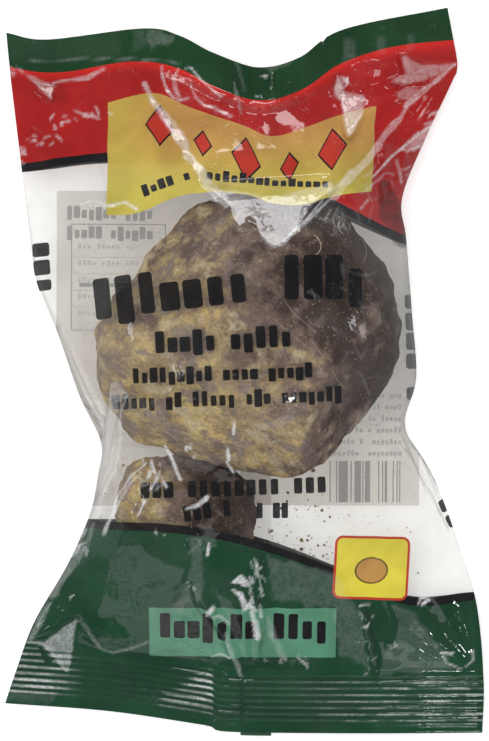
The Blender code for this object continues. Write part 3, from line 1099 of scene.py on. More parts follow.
HEAD_CREASES = (
    Crease((-3.6, 104.0), (0.4, 82.0), 0.8, 1.3),
    Crease((2.6, 102.0), (2.8, 84.0), -0.6, 1.6),
    Crease((8.0, 100.0), (7.4, 84.0), 0.7, 1.8),
    Crease((22.0, 110.0), (17.0, 90.0), 0.5, 3.0),
    Crease((33.0, 112.0), (33.4, 94.0), 0.5, 2.4),
    Crease((43.4, 112.0), (43.0, 97.0), 0.5, 2.4),
    Crease((53.0, 114.0), (52.6, 99.0), 0.5, 2.4),
    Crease((-37.6, 110.0), (-35.8, 95.0), 0.5, 2.0),
    Crease((-54.0, 109.0), (-56.0, 95.0), 0.4, 3.0),
)


def slope_towards(light: tuple[float, float, float]) -> np.ndarray:
    """The slope of a surface that mirrors a light straight up, as rise per length across and along."""
    way = Vector(light).normalized() + Vector((0, 0, 1))
    return np.array([-way.x / way.z, -way.y / way.z])


def near_to(points: Points, x: np.ndarray, y: np.ndarray, margin: float) -> np.ndarray:
    """The numbers of the places inside the points' box, widened by a margin, in millimetres."""
    (low_x, low_y), (high_x, high_y) = np.min(points, 0) - margin, np.max(points, 0) + margin
    return np.flatnonzero((x > low_x) & (x < high_x) & (y > low_y) & (y < high_y))


def beside_path(path: Points, x: np.ndarray, y: np.ndarray) -> tuple[np.ndarray, ...]:
    """Measures places against a path of straight runs.

    Args:
        path: The path's points, in millimetres.
        x: Places across.
        y: Places along.

    Returns:
        How far each place is from the path, how far to its right, its share of the path's length, and
        the direction to the path's right there, across and along.
    """
    points = np.array(path)
    count = len(points) - 1
    best, aside, place, side_x, side_y = (np.full(len(x), value) for value in (1e9, 0.0, 0.0, 0.0, 0.0))
    for number, (start, end) in enumerate(zip(points[:-1], points[1:])):
        run = end - start
        length = np.linalg.norm(run)
        along = np.clip(((x - start[0]) * run[0] + (y - start[1]) * run[1]) / length**2, 0, 1)
        away = np.hypot(x - start[0] - along * run[0], y - start[1] - along * run[1])
        across = ((x - start[0]) * run[1] - (y - start[1]) * run[0]) / length
        closer = away < best
        best = np.where(closer, away, best)
        aside = np.where(closer, across, aside)
        place = np.where(closer, (number + along) / count, place)
        side_x = np.where(closer, run[1] / length, side_x)
        side_y = np.where(closer, -run[0] / length, side_y)
    return best, aside, place, side_x, side_y


@dataclass(frozen=True)
class Patch:
    """An area of film with corners, in millimetres, and how strongly a reflection is painted on it as a pale veil."""

    corners: Points
    pale: float = 0.3
    ragged: float = 0.8
    soft: float = 0.5

    def inside(self, x: np.ndarray, y: np.ndarray) -> np.ndarray:
        """How far each place lies inside the corners, below zero outside them."""
        points = np.array(self.corners)
        crossings = np.zeros(len(x), int)
        for start, end in zip(points, np.roll(points, -1, 0)):
            run = end - start
            spans = (start[1] > y) != (end[1] > y)
            rise = run[1] if abs(run[1]) > 1e-6 else 1e-6
            crossings += spans & (x < start[0] + (y - start[1]) * run[0] / rise)
        nearest = beside_path([*self.corners, self.corners[0]], x, y)[0]
        ragged = self.ragged * (0.7 * ripple(x, y, 2.6, 91) + 0.3 * ripple(x, y, 1.1, 92))
        return np.where(crossings % 2 == 1, nearest, -nearest) + ragged

    def painted_share(self, x: np.ndarray, y: np.ndarray) -> np.ndarray:
        """How strongly the painted reflection pales each place, from 0 to 1."""
        streaks = 0.82 + 0.18 * ripple(x, y, 3.4, 93)
        return self.pale * soft_step(self.inside(x, y), -self.soft / 2, self.soft / 2) * streaks


@dataclass(frozen=True)
class Facet(Patch):
    """A flat place where the film bridges between two folds, and the light that it mirrors, with a highlight painted
    over it as well.
    """

    light: str = "back"
    raised: float = 0.2

    def height(self, x: np.ndarray, y: np.ndarray, z: np.ndarray, under: np.ndarray) -> np.ndarray:
        """The film's new heights, given the heights of what lies under it, in millimetres."""
        inside = self.inside(x, y)
        within = inside > 0
        slope = slope_towards(LIGHTS[self.light].place)
        middle = np.array([x[within].mean(), y[within].mean()])
        rise = (x - middle[0]) * slope[0] + (y - middle[1]) * slope[1]
        level = max(np.median((z - rise)[within]), np.quantile((under - rise)[within], 0.99)) + self.raised
        share = soft_step(inside, -1.6, 0.2)
        return z + (level + rise - z) * share


@dataclass(frozen=True)
class Strip:
    """A long narrow face beside a fold that turns the film towards a light, with a highlight painted along it, in
    millimetres.
    """

    path: Points
    width: float
    light: str = "back"
    pale: float = 0.5
    strength: float = 1.0
    fall: float = 5.0

    def spread(self, x: np.ndarray, y: np.ndarray, place: np.ndarray) -> np.ndarray:
        """Half its width at each place: pointed at the start, wider from the middle on, and uneven."""
        return self.width / 2 * (0.45 + 0.55 * soft_step(place, 0.0, 0.5)) * (1 + 0.35 * ripple(x, y, 3.0, 61))

    def lift(self, x: np.ndarray, y: np.ndarray, slope: np.ndarray) -> np.ndarray:
        """How far it raises the film at each place, given the film's slope there."""
        best, aside, place, side_x, side_y = beside_path(self.path, x, y)
        want = slope_towards(LIGHTS[self.light].place)
        turn = (want[0] - slope[:, 0]) * side_x + (want[1] - slope[:, 1]) * side_y
        turn = np.clip(turn, -0.8, 0.8) * self.strength
        half = self.spread(x, y, place)
        ramp = np.clip(aside, -half, half) + half
        beyond = np.clip(np.abs(aside) - half, 0, None)
        step = np.where(turn > 0, ramp, ramp - 2 * half)
        high_side = np.where(turn > 0, aside > 0, aside < 0)
        fade = np.where(high_side, np.exp(-(beyond / self.fall) ** 2), 1.0)
        ends = soft_step(place, 0.0, 0.08) * soft_step(1 - place, 0.0, 0.08)
        near = soft_step(MARK_REACH - best, 0.0, 6.0)
        return step * turn * fade * ends * near

    def painted_share(self, x: np.ndarray, y: np.ndarray) -> np.ndarray:
        """How strongly a highlight is painted at each place, from 0 to 1; for the fold shade strips, how strongly
        shade is painted.
        """
        best, _, place, _, _ = beside_path(self.path, x, y)
        half = np.maximum(self.spread(x, y, place), 0.26)
        broken = 0.8 + 0.2 * ripple(x, y, 2.2, 95)
        return self.pale * soft_step(half - best, -0.25, 0.25) * broken


@dataclass(frozen=True)
class Shards:
    """A scatter of short sharp marks where the film is crushed, each a strip turned to a light with a painted glint,
    in millimetres.
    """

    middle: tuple[float, float]
    radii: tuple[float, float]
    count: int
    length: float
    turn: float
    seed: int
    light: str = "spark"
    pale: float = 0.6
    turns: float = 35.0
    width: float = 0.6

    def strips(self) -> list[Strip]:
        """The marks, each of them a short strip."""
        rng = np.random.default_rng(self.seed)
        made = []
        for _ in range(self.count):
            x, y = (middle + radius * rng.normal(0, 0.5) for middle, radius in zip(self.middle, self.radii))
            angle = math.radians(self.turn + rng.normal(0, self.turns))
            length = self.length * rng.uniform(0.4, 1.3)
            bend = length * rng.uniform(-0.12, 0.12)
            way = np.array([math.cos(angle), math.sin(angle)])
            start = np.array([x, y]) - way * length / 2
            half_way = np.array([x, y]) + bend * np.array([-way[1], way[0]])
            path = (tuple(start), tuple(half_way), tuple(start + way * length))
            made.append(Strip(path, self.width * rng.uniform(0.5, 1.4), self.light,
                              self.pale * rng.uniform(0.4, 1.2), fall=1.2))
        return made


# Facets: flat faces turned to a light, each also carrying a painted highlight.
FACETS = (
    Facet(((-10.2, 56.6), (-7.4, 53.6), (-5.0, 51.0), (-3.2, 49.6), (-2.6, 46.4), (-1.4, 43.6), (0.0, 46.8),
           (1.6, 47.6), (3.4, 46.0), (5.0, 41.4), (6.8, 38.4), (9.2, 37.1), (12.0, 38.8), (16.0, 43.2),
           (19.6, 48.6), (21.0, 51.2), (28.0, 56.6), (27.2, 58.6), (14.0, 55.0), (8.0, 52.6), (0.0, 55.4)),
          0.30, 0.4, 0.4, "back", 0.0),
    Facet(((29.2, 93.2), (30.4, 91.4), (31.6, 87.8), (34.0, 87.2), (37.8, 86.6), (37.5, 83.0), (36.6, 79.4),
           (35.2, 76.6), (33.6, 74.2), (32.4, 73.2), (31.2, 77.4), (30.9, 81.0), (30.2, 85.0), (28.6, 86.4),
           (28.2, 89.6)), 0.50, 0.4, 0.4),
    Facet(((49.8, 99.2), (51.4, 99.8), (53.0, 98.4), (56.0, 96.9), (62.0, 97.0), (67.4, 97.7), (64.0, 95.3),
           (60.0, 93.2), (55.6, 91.6), (50.4, 90.4), (46.4, 91.3), (49.4, 92.6), (51.0, 94.4), (50.2, 96.6)),
          0.30, 0.5, 0.8, "corner"),
    Facet(((47.6, 88.4), (52.4, 89.2), (56.4, 89.0), (54.0, 87.2), (51.2, 86.0), (48.0, 85.8)),
          0.26, 0.6, 0.7, "corner"),
    Facet(((59.8, 78.0), (57.0, 77.2), (53.4, 74.2), (49.4, 70.3), (51.8, 70.2), (53.4, 69.2), (55.6, 70.8),
           (57.8, 74.0), (59.4, 76.2)), 0.40, 0.6, 0.5, "right"),
    Facet(((-70.2, 94.6), (-66.8, 93.4), (-62.6, 91.4), (-60.4, 90.6), (-61.2, 88.2), (-61.4, 86.2),
           (-65.0, 89.4), (-68.4, 93.0)), 0.30, 0.5, 0.6),
    Facet(((-53.6, -79.4), (-58.0, -82.2), (-63.6, -86.4), (-69.6, -86.4), (-64.2, -87.8), (-61.0, -90.6),
           (-57.2, -95.6), (-56.2, -95.8), (-55.2, -91.0), (-54.2, -84.6)), 0.46, 0.3, 0.6, "low_left", 0.6),
)

# Broad pale patches: painted reflections of the softboxes on the film.
PAINTED_SHEEN_PATCHES = (
    Patch(((-48.6, -49.0), (-14.0, -51.6), (-12.6, -58.0), (-10.6, -62.0), (-5.0, -64.4), (-1.0, -70.0),
           (-3.6, -74.6), (-12.0, -75.6), (-28.4, -75.8), (-30.0, -78.8), (-35.6, -78.8), (-39.6, -80.4),
           (-43.2, -78.6), (-47.0, -75.2), (-51.8, -76.4), (-48.0, -73.4), (-52.4, -70.0), (-49.6, -67.6),
           (-51.0, -65.4), (-55.0, -65.8), (-60.6, -70.6), (-59.4, -68.0), (-52.6, -58.6)), 0.012, 1.3, 0.9),
    Patch(((7.4, -58.0), (30.0, -64.4), (31.0, -69.6), (35.0, -74.4), (37.2, -80.0), (38.6, -88.0), (39.6, -94.6),
           (30.0, -89.6), (27.8, -75.4), (20.0, -74.6), (15.0, -71.8), (9.0, -73.0)), 0.095, 1.2, 1.2),
    Patch(((44.2, -73.4), (52.2, -75.6), (57.0, -80.6), (62.0, -87.4), (66.6, -95.4), (43.0, -96.6),
           (44.0, -90.0), (48.4, -82.6)), 0.075, 1.1, 1.0),
    Patch(((-16.8, -52.2), (-13.6, -52.2), (-13.0, -59.0), (-12.6, -66.4), (-14.6, -73.6), (-17.2, -77.4),
           (-23.0, -75.4), (-18.0, -66.6), (-16.6, -60.0)), 0.10, 0.6, 1.1),
    Patch(((-41.8, -4.2), (-38.8, -3.4), (-35.2, -8.6), (-38.0, -10.6), (-39.0, -20.0), (-40.0, -28.0),
           (-43.4, -37.0), (-47.0, -40.4), (-46.4, -29.0), (-42.6, -16.0)), 0.30, 0.5, 0.8),
    Patch(((-52.0, -55.0), (-54.4, -56.4), (-57.4, -60.4), (-54.6, -59.2), (-52.4, -56.8)), 0.75, 0.5, 0.4),
    Patch(((-31.6, -40.0), (-30.2, -40.6), (-33.4, -45.8)), 0.85, 0.3, 0.3),
    Patch(((-35.4, 108.4), (-31.8, 108.6), (-30.4, 103.4), (-35.2, 101.0)), 0.05, 0.5, 1.2),
    Patch(((-31.0, 107.6), (-22.6, 106.0), (-22.4, 103.6), (-26.8, 102.6), (-30.6, 104.4)), 0.13, 1.4, 0.9),
    Patch(((6.2, 96.0), (9.6, 97.2), (16.4, 99.8), (14.0, 96.6), (8.4, 94.2)), 0.10, 0.3, 0.6),
    Patch(((-4.4, 98.4), (-1.6, 97.4), (0.6, 88.0), (-1.4, 88.4)), 0.07, 0.2, 0.8),
    Patch(((31.6, 105.0), (34.8, 104.4), (35.0, 98.4), (31.2, 97.6)), 0.08, 0.3, 1.6),
    Patch(((42.4, 106.0), (44.4, 105.6), (45.0, 100.6), (42.0, 100.0)), 0.06, 0.3, 1.4),
    Patch(((51.8, 106.6), (53.8, 106.4), (54.2, 102.4), (51.6, 102.0)), 0.06, 0.3, 1.4),
    Patch(((-75.6, 107.4), (-64.0, 105.0), (-50.0, 106.6), (-40.0, 107.6), (-38.6, 99.6), (-74.6, 98.4)),
          0.015, 0.4, 2.0),
    Patch(((-73.6, -93.0), (-66.0, -92.8), (-58.6, -95.2), (-60.0, -100.0), (-61.0, -106.0), (-75.8, -105.6)),
          0.06, 1.2, 2.0),
)

# Strips: narrow faces turned to lights, each with a painted highlight along it.
STRIPS = (
    Strip(((-31.6, 90.6), (-28.8, 84.6), (-25.0, 79.4), (-21.0, 74.0), (-17.6, 67.6), (-14.2, 62.4),
           (-10.0, 56.4), (-5.6, 51.4)), 2.9, pale=0.46),
    Strip(((67.0, 97.4), (60.4, 91.6), (54.6, 86.8), (50.8, 83.6)), 1.7, "high", 0.42),
    Strip(((51.0, 83.0), (49.2, 79.6), (45.0, 75.4), (41.6, 70.4), (38.4, 65.8), (33.0, 60.2), (27.6, 54.2)),
          2.9, "high", 0.38),
    Strip(((27.6, 54.2), (22.4, 49.0), (14.4, 41.6), (11.0, 38.4)), 1.5, pale=0.45),
    Strip(((24.4, 53.0), (19.0, 46.4), (13.6, 41.4)), 0.5, pale=0.6),
    Strip(((60.0, 78.2), (53.0, 73.0), (46.0, 67.0), (40.4, 60.8)), 0.6, "right", 0.85),
    Strip(((55.6, 71.0), (51.4, 69.4), (49.0, 69.8)), 0.7, "right", 0.5),
    Strip(((47.8, 66.2), (48.8, 62.6), (49.7, 59.2)), 0.6, "right", 0.6),
    Strip(((-60.8, 91.4), (-55.6, 92.2), (-50.0, 92.6), (-47.4, 94.0), (-44.9, 95.5)), 1.3, pale=0.4),
    Strip(((-66.6, 91.8), (-63.6, 88.8), (-61.2, 86.4)), 0.8, pale=0.5),
    Strip(((-26.2, 96.2), (-25.8, 92.4), (-24.6, 88.8), (-22.6, 86.0), (-20.4, 84.7), (-17.6, 85.6)), 0.8, pale=0.6),
    Strip(((-20.8, 95.4), (-22.2, 92.4), (-21.8, 88.6), (-20.4, 85.4)), 1.5, pale=0.36),
    Strip(((-18.6, 95.6), (-16.6, 95.2), (-13.6, 91.6), (-7.4, 86.2)), 0.55, pale=0.7),
    Strip(((-17.2, 90.4), (-15.4, 86.0), (-12.8, 83.4), (-9.6, 82.4), (-4.4, 79.8)), 1.0, pale=0.42),
    Strip(((5.4, 92.9), (6.9, 92.9)), 1.0, "high", 0.95),
    Strip(((-53.6, 82.0), (-50.0, 80.6), (-46.0, 79.4)), 0.7, "high", 0.5),
    Strip(((-3.2, 91.0), (-2.4, 86.6), (-1.0, 80.6)), 1.2, "high", 0.2),
    Strip(((-69.6, 98.4), (-50.0, 98.9), (-34.0, 98.6), (-20.0, 97.0)), 0.6, "high", 0.16),
    Strip(((-51.4, 52.0), (-47.0, 52.9), (-42.0, 51.0), (-37.0, 52.2), (-33.2, 49.8)), 0.8, "high", 0.75),
    Strip(((-24.4, -23.2), (-22.6, -27.0), (-19.8, -33.6)), 0.8, "left", 0.9),
    Strip(((-30.4, -28.8), (-34.6, -32.2), (-38.2, -37.2), (-41.0, -42.6)), 0.7, "left", 0.6),
    Strip(((-33.0, -32.6), (-36.6, -36.4), (-38.4, -40.0), (-41.6, -46.2)), 0.7, "left", 0.55),
    Strip(((-39.6, -40.0), (-42.0, -46.0), (-44.2, -51.4)), 0.9, "left", 0.8),
    Strip(((-28.6, -27.8), (-28.0, -31.6)), 1.0, "left", 0.75),
    Strip(((-26.8, -33.0), (-29.2, -36.8)), 0.9, "left", 0.7),
    Strip(((-25.8, -33.2), (-24.2, -36.2)), 0.8, "left", 0.7),
    Strip(((-18.0, -42.8), (-14.6, -41.8), (-11.4, -39.2)), 1.2, "left", 0.8),
    Strip(((-3.0, -15.4), (-3.4, -19.4)), 0.8, "spark", 0.8),
    Strip(((-5.2, -23.8), (-4.8, -27.2)), 1.4, "spark", 0.95),
    Strip(((-5.6, -28.0), (-3.4, -31.2)), 0.7, "spark", 0.8),
    Strip(((-58.0, 12.4), (-55.0, 3.0), (-52.8, -3.6), (-48.0, -9.4), (-43.2, -13.6)), 0.8, "left", 0.5),
    Strip(((-53.2, -4.0), (-50.4, -9.8), (-44.4, -18.2)), 0.7, "left", 0.5),
    Strip(((-56.8, 12.6), (-53.4, 0.4)), 0.6, "left", 0.35),
    Strip(((-36.0, -7.4), (-37.8, -12.0), (-38.6, -22.0), (-40.6, -31.0), (-45.2, -41.0)), 0.7, "left", 0.45),
    Strip(((-41.4, -6.0), (-42.6, -15.0), (-45.6, -26.0), (-47.4, -38.0)), 0.6, "left", 0.35),
    Strip(((-47.6, -48.6), (-49.8, -54.8), (-53.4, -60.4), (-58.0, -66.0), (-61.2, -71.8)), 2.4, "left", 0.22),
    Strip(((-49.8, -46.6), (-51.6, -50.6), (-54.2, -55.8)), 0.8, "left", 0.6),
    Strip(((-62.0, -74.0), (-65.0, -79.2), (-68.4, -85.0)), 2.6, "left", 0.24),
    Strip(((-69.8, -86.3), (-64.4, -87.4), (-61.4, -90.4), (-56.8, -96.0)), 0.7, "left", 0.55),
    Strip(((-53.6, -79.4), (-51.0, -80.4), (-48.4, -84.6), (-45.6, -88.6), (-42.0, -90.0), (-37.0, -88.8),
           (-31.0, -86.4)), 1.0, "front_high", 0.22),
    Strip(((-17.6, -66.2), (-15.8, -68.4)), 0.9, "spark", 0.6),
    Strip(((-12.0, -77.4), (-11.4, -75.6), (-10.2, -74.6)), 1.3, "spark", 0.95),
    Strip(((-11.2, -77.2), (-7.8, -77.4), (-5.0, -80.0)), 0.6, "spark", 0.8),
    Strip(((-11.0, -53.8), (-11.6, -57.6)), 0.8, "spark", 0.85),
    Strip(((-3.6, -66.2), (-1.2, -65.2), (0.4, -66.8)), 2.0, "spark", 0.9),
    Strip(((-3.8, -68.6), (-1.2, -70.6), (0.2, -74.2)), 1.5, "spark", 0.95),
    Strip(((-0.4, -75.6), (1.4, -74.2), (3.4, -75.2)), 1.2, "spark", 0.85),
    Strip(((2.2, -76.2), (3.2, -79.6), (4.0, -84.0)), 2.0, "spark", 1.0),
    Strip(((3.2, -58.6), (3.8, -62.4), (4.8, -65.2)), 1.4, "spark", 0.55),
    Strip(((5.0, -66.4), (5.4, -70.6)), 1.1, "spark", 0.75),
    Strip(((4.8, -73.6), (5.2, -77.6)), 0.8, "spark", 0.8),
    Strip(((7.4, -77.8), (8.8, -84.0), (12.4, -91.0)), 2.4, "front_high", 0.2),
    Strip(((-6.0, -82.6), (-4.6, -87.6), (-2.0, -94.6), (-0.2, -99.0)), 1.5, "front_high", 0.34),
    Strip(((-10.4, -91.0), (-7.6, -90.0), (-4.6, -91.2)), 0.8, "front_high", 0.7),
    Strip(((36.4, -74.2), (39.4, -74.0)), 0.6, "spark", 0.8),
    Strip(((38.0, -81.6), (39.4, -79.8)), 0.9, "spark", 0.9),
    Strip(((39.4, -86.0), (39.8, -88.4)), 0.7, "spark", 0.7),
    Strip(((40.2, -92.4), (41.8, -90.6)), 0.8, "spark", 0.9),
    Strip(((55.2, -74.2), (56.0, -71.8), (58.6, -72.6), (56.4, -74.2)), 0.7, "spark", 0.95),
    Strip(((62.6, -90.0), (66.2, -90.0)), 0.8, "spark", 0.95),
    Strip(((63.0, -90.8), (64.6, -93.2), (69.0, -95.2)), 0.55, "spark", 0.6),
    Strip(((70.4, -94.6), (73.0, -92.2), (72.6, -89.2)), 0.7, "spark", 0.5),
    Strip(((18.0, -92.2), (19.6, -93.6)), 0.7, "spark", 0.8),
)

# Painted shade: dark lines and bands laid on the film where folds, and the red flank beside the ball, fall into shade.
PAINTED_FOLD_SHADE = tuple(Strip(path, width, pale=share) for path, width, share in (
    (((-59.4, 13.6), (-53.8, -3.4), (-50.8, -9.6), (-45.2, -18.2), (-46.2, -24.6)), 0.6, 0.50),
    (((-50.8, -10.4), (-48.6, -12.2)), 1.1, 0.85),
    (((-47.2, -13.8), (-45.2, -15.8)), 1.1, 0.85),
    (((-41.8, -4.4), (-42.9, -14.0), (-46.3, -25.0), (-47.8, -39.0)), 0.5, 0.38),
    (((-35.0, -8.4), (-38.6, -10.0), (-39.6, -22.0), (-41.6, -32.0), (-47.0, -41.0)), 0.5, 0.34),
    (((-49.8, -46.6), (-54.8, -57.0), (-60.2, -66.0), (-63.8, -73.0), (-69.8, -85.6)), 0.8, 0.55),
    (((-50.4, -47.6), (-53.0, -54.2)), 0.7, 0.80),
    (((50.6, -16.8), (53.6, -24.0), (58.4, -31.4), (63.4, -40.0)), 0.6, 0.70),
    (((50.2, -25.0), (55.0, -32.0), (59.6, -40.4), (64.6, -50.0)), 0.5, 0.42),
    (((54.2, -22.8), (58.0, -28.6), (61.2, -35.0)), 0.7, 0.60),
    (((63.4, -40.0), (66.6, -50.0), (70.6, -61.0), (73.2, -71.0)), 0.6, 0.34),
    (((51.4, 41.0), (53.0, 24.0), (54.0, 6.0), (54.2, -4.0), (51.4, -14.0)), 0.6, 0.36),
    (((-71.2, 65.6), (-69.6, 55.0), (-68.0, 45.0), (-66.0, 31.0), (-59.6, 14.0)), 0.5, 0.26),
    (((-47.4, 66.0), (-45.0, 64.0), (-43.6, 58.0), (-43.6, 52.0)), 0.5, 0.10),
    (((-16.9, -66.2), (-15.9, -72.0), (-14.5, -76.0), (-11.0, -80.2), (-7.4, -82.0)), 0.7, 0.75),
    (((-0.4, -95.0), (-1.0, -104.0), (-1.0, -113.4)), 0.6, 0.55),
    (((-2.4, 98.0), (1.2, 96.6), (4.6, 96.3)), 1.3, 0.85),
    (((-4.2, 98.2), (-2.4, 92.0), (-1.6, 89.2)), 1.2, 0.50),
    (((9.6, 94.4), (9.8, 88.2)), 0.7, 0.30),
    (((5.6, 94.0), (5.4, 87.4)), 0.7, 0.22),
    (((38.2, -75.0), (39.8, -84.0), (41.6, -96.0)), 3.0, 0.40),
    (((45.4, -74.0), (48.0, -80.0), (46.4, -88.0)), 1.6, 0.22),
    (((-65.2, -88.4), (-62.6, -92.8)), 1.6, 0.50),
    (((44.0, 58.4), (46.6, 50.0), (49.4, 43.0)), 8.0, 0.75),
    (((-3.0, -56.2), (3.4, -55.6), (5.6, -62.0), (4.4, -72.0)), 2.4, 0.35),
    (((-40.6, -90.6), (-30.0, -91.0), (-10.0, -91.6)), 1.4, 0.28),
))

# Shards: scatters of short strips, each with a painted glint.
SHARDS = (
    Shards((31.0, 91.0), (3.4, 2.4), 8, 1.8, -50.0, 1, "high", 0.7),
    Shards((-50.5, 80.6), (7.0, 2.6), 10, 2.2, -22.0, 2, "high", 0.5),
    Shards((-66.0, 73.6), (5.0, 1.6), 10, 1.3, 20.0, 3, "high", 0.5),
    Shards((-59.0, 76.4), (2.6, 3.4), 7, 1.6, -50.0, 4, "high", 0.5),
    Shards((-70.6, 68.4), (1.8, 3.6), 12, 1.8, 20.0, 5, "left", 0.45),
    Shards((42.0, 56.4), (6.4, 6.0), 26, 4.6, 55.0, 6, "right", 0.20, 24.0, 0.5),
    Shards((52.0, 62.0), (3.0, 6.0), 12, 3.0, 68.0, 7, "right", 0.26, 24.0, 0.5),
    Shards((59.4, 80.0), (1.6, 2.6), 8, 1.8, 50.0, 8, "right", 0.6),
    Shards((28.0, 47.0), (6.0, 5.0), 12, 4.0, 130.0, 9, "high", 0.22, 40.0, 0.45),
    Shards((-16.6, -24.4), (1.8, 3.4), 7, 1.1, -80.0, 11, "spark", 0.8),
    Shards((-29.0, -32.0), (5.4, 5.0), 14, 2.4, 60.0, 12, "left", 0.5),
    Shards((-52.0, -51.0), (2.2, 4.4), 16, 2.6, 58.0, 13, "left", 0.6, 18.0),
    Shards((-46.0, -14.0), (4.0, 6.0), 9, 3.4, 128.0, 14, "left", 0.4, 14.0),
    Shards((3.6, -66.0), (2.4, 9.0), 22, 1.5, 80.0, 15, "spark", 0.7),
    Shards((38.6, -84.0), (2.0, 10.0), 16, 1.3, 60.0, 16, "spark", 0.5),
    Shards((14.0, -92.0), (6.0, 2.0), 7, 1.2, -30.0, 17, "spark", 0.5),
    Shards((47.0, -87.6), (2.4, 1.2), 8, 0.9, 10.0, 18, "spark", 0.5),
    Shards((58.0, -30.0), (4.4, 7.0), 10, 5.0, -58.0, 19, "right", 0.35, 8.0),
    Shards((34.0, 20.0), (11.0, 17.0), 26, 5.0, 125.0, 20, "right", 0.11, 26.0, 0.45),
    Shards((-26.0, -12.0), (12.0, 7.0), 12, 6.0, 130.0, 21, "left", 0.10, 22.0, 0.45),
    Shards((-73.0, 96.0), (2.4, 1.6), 5, 3.4, -38.0, 22, "high", 0.3, 8.0, 0.5),
)


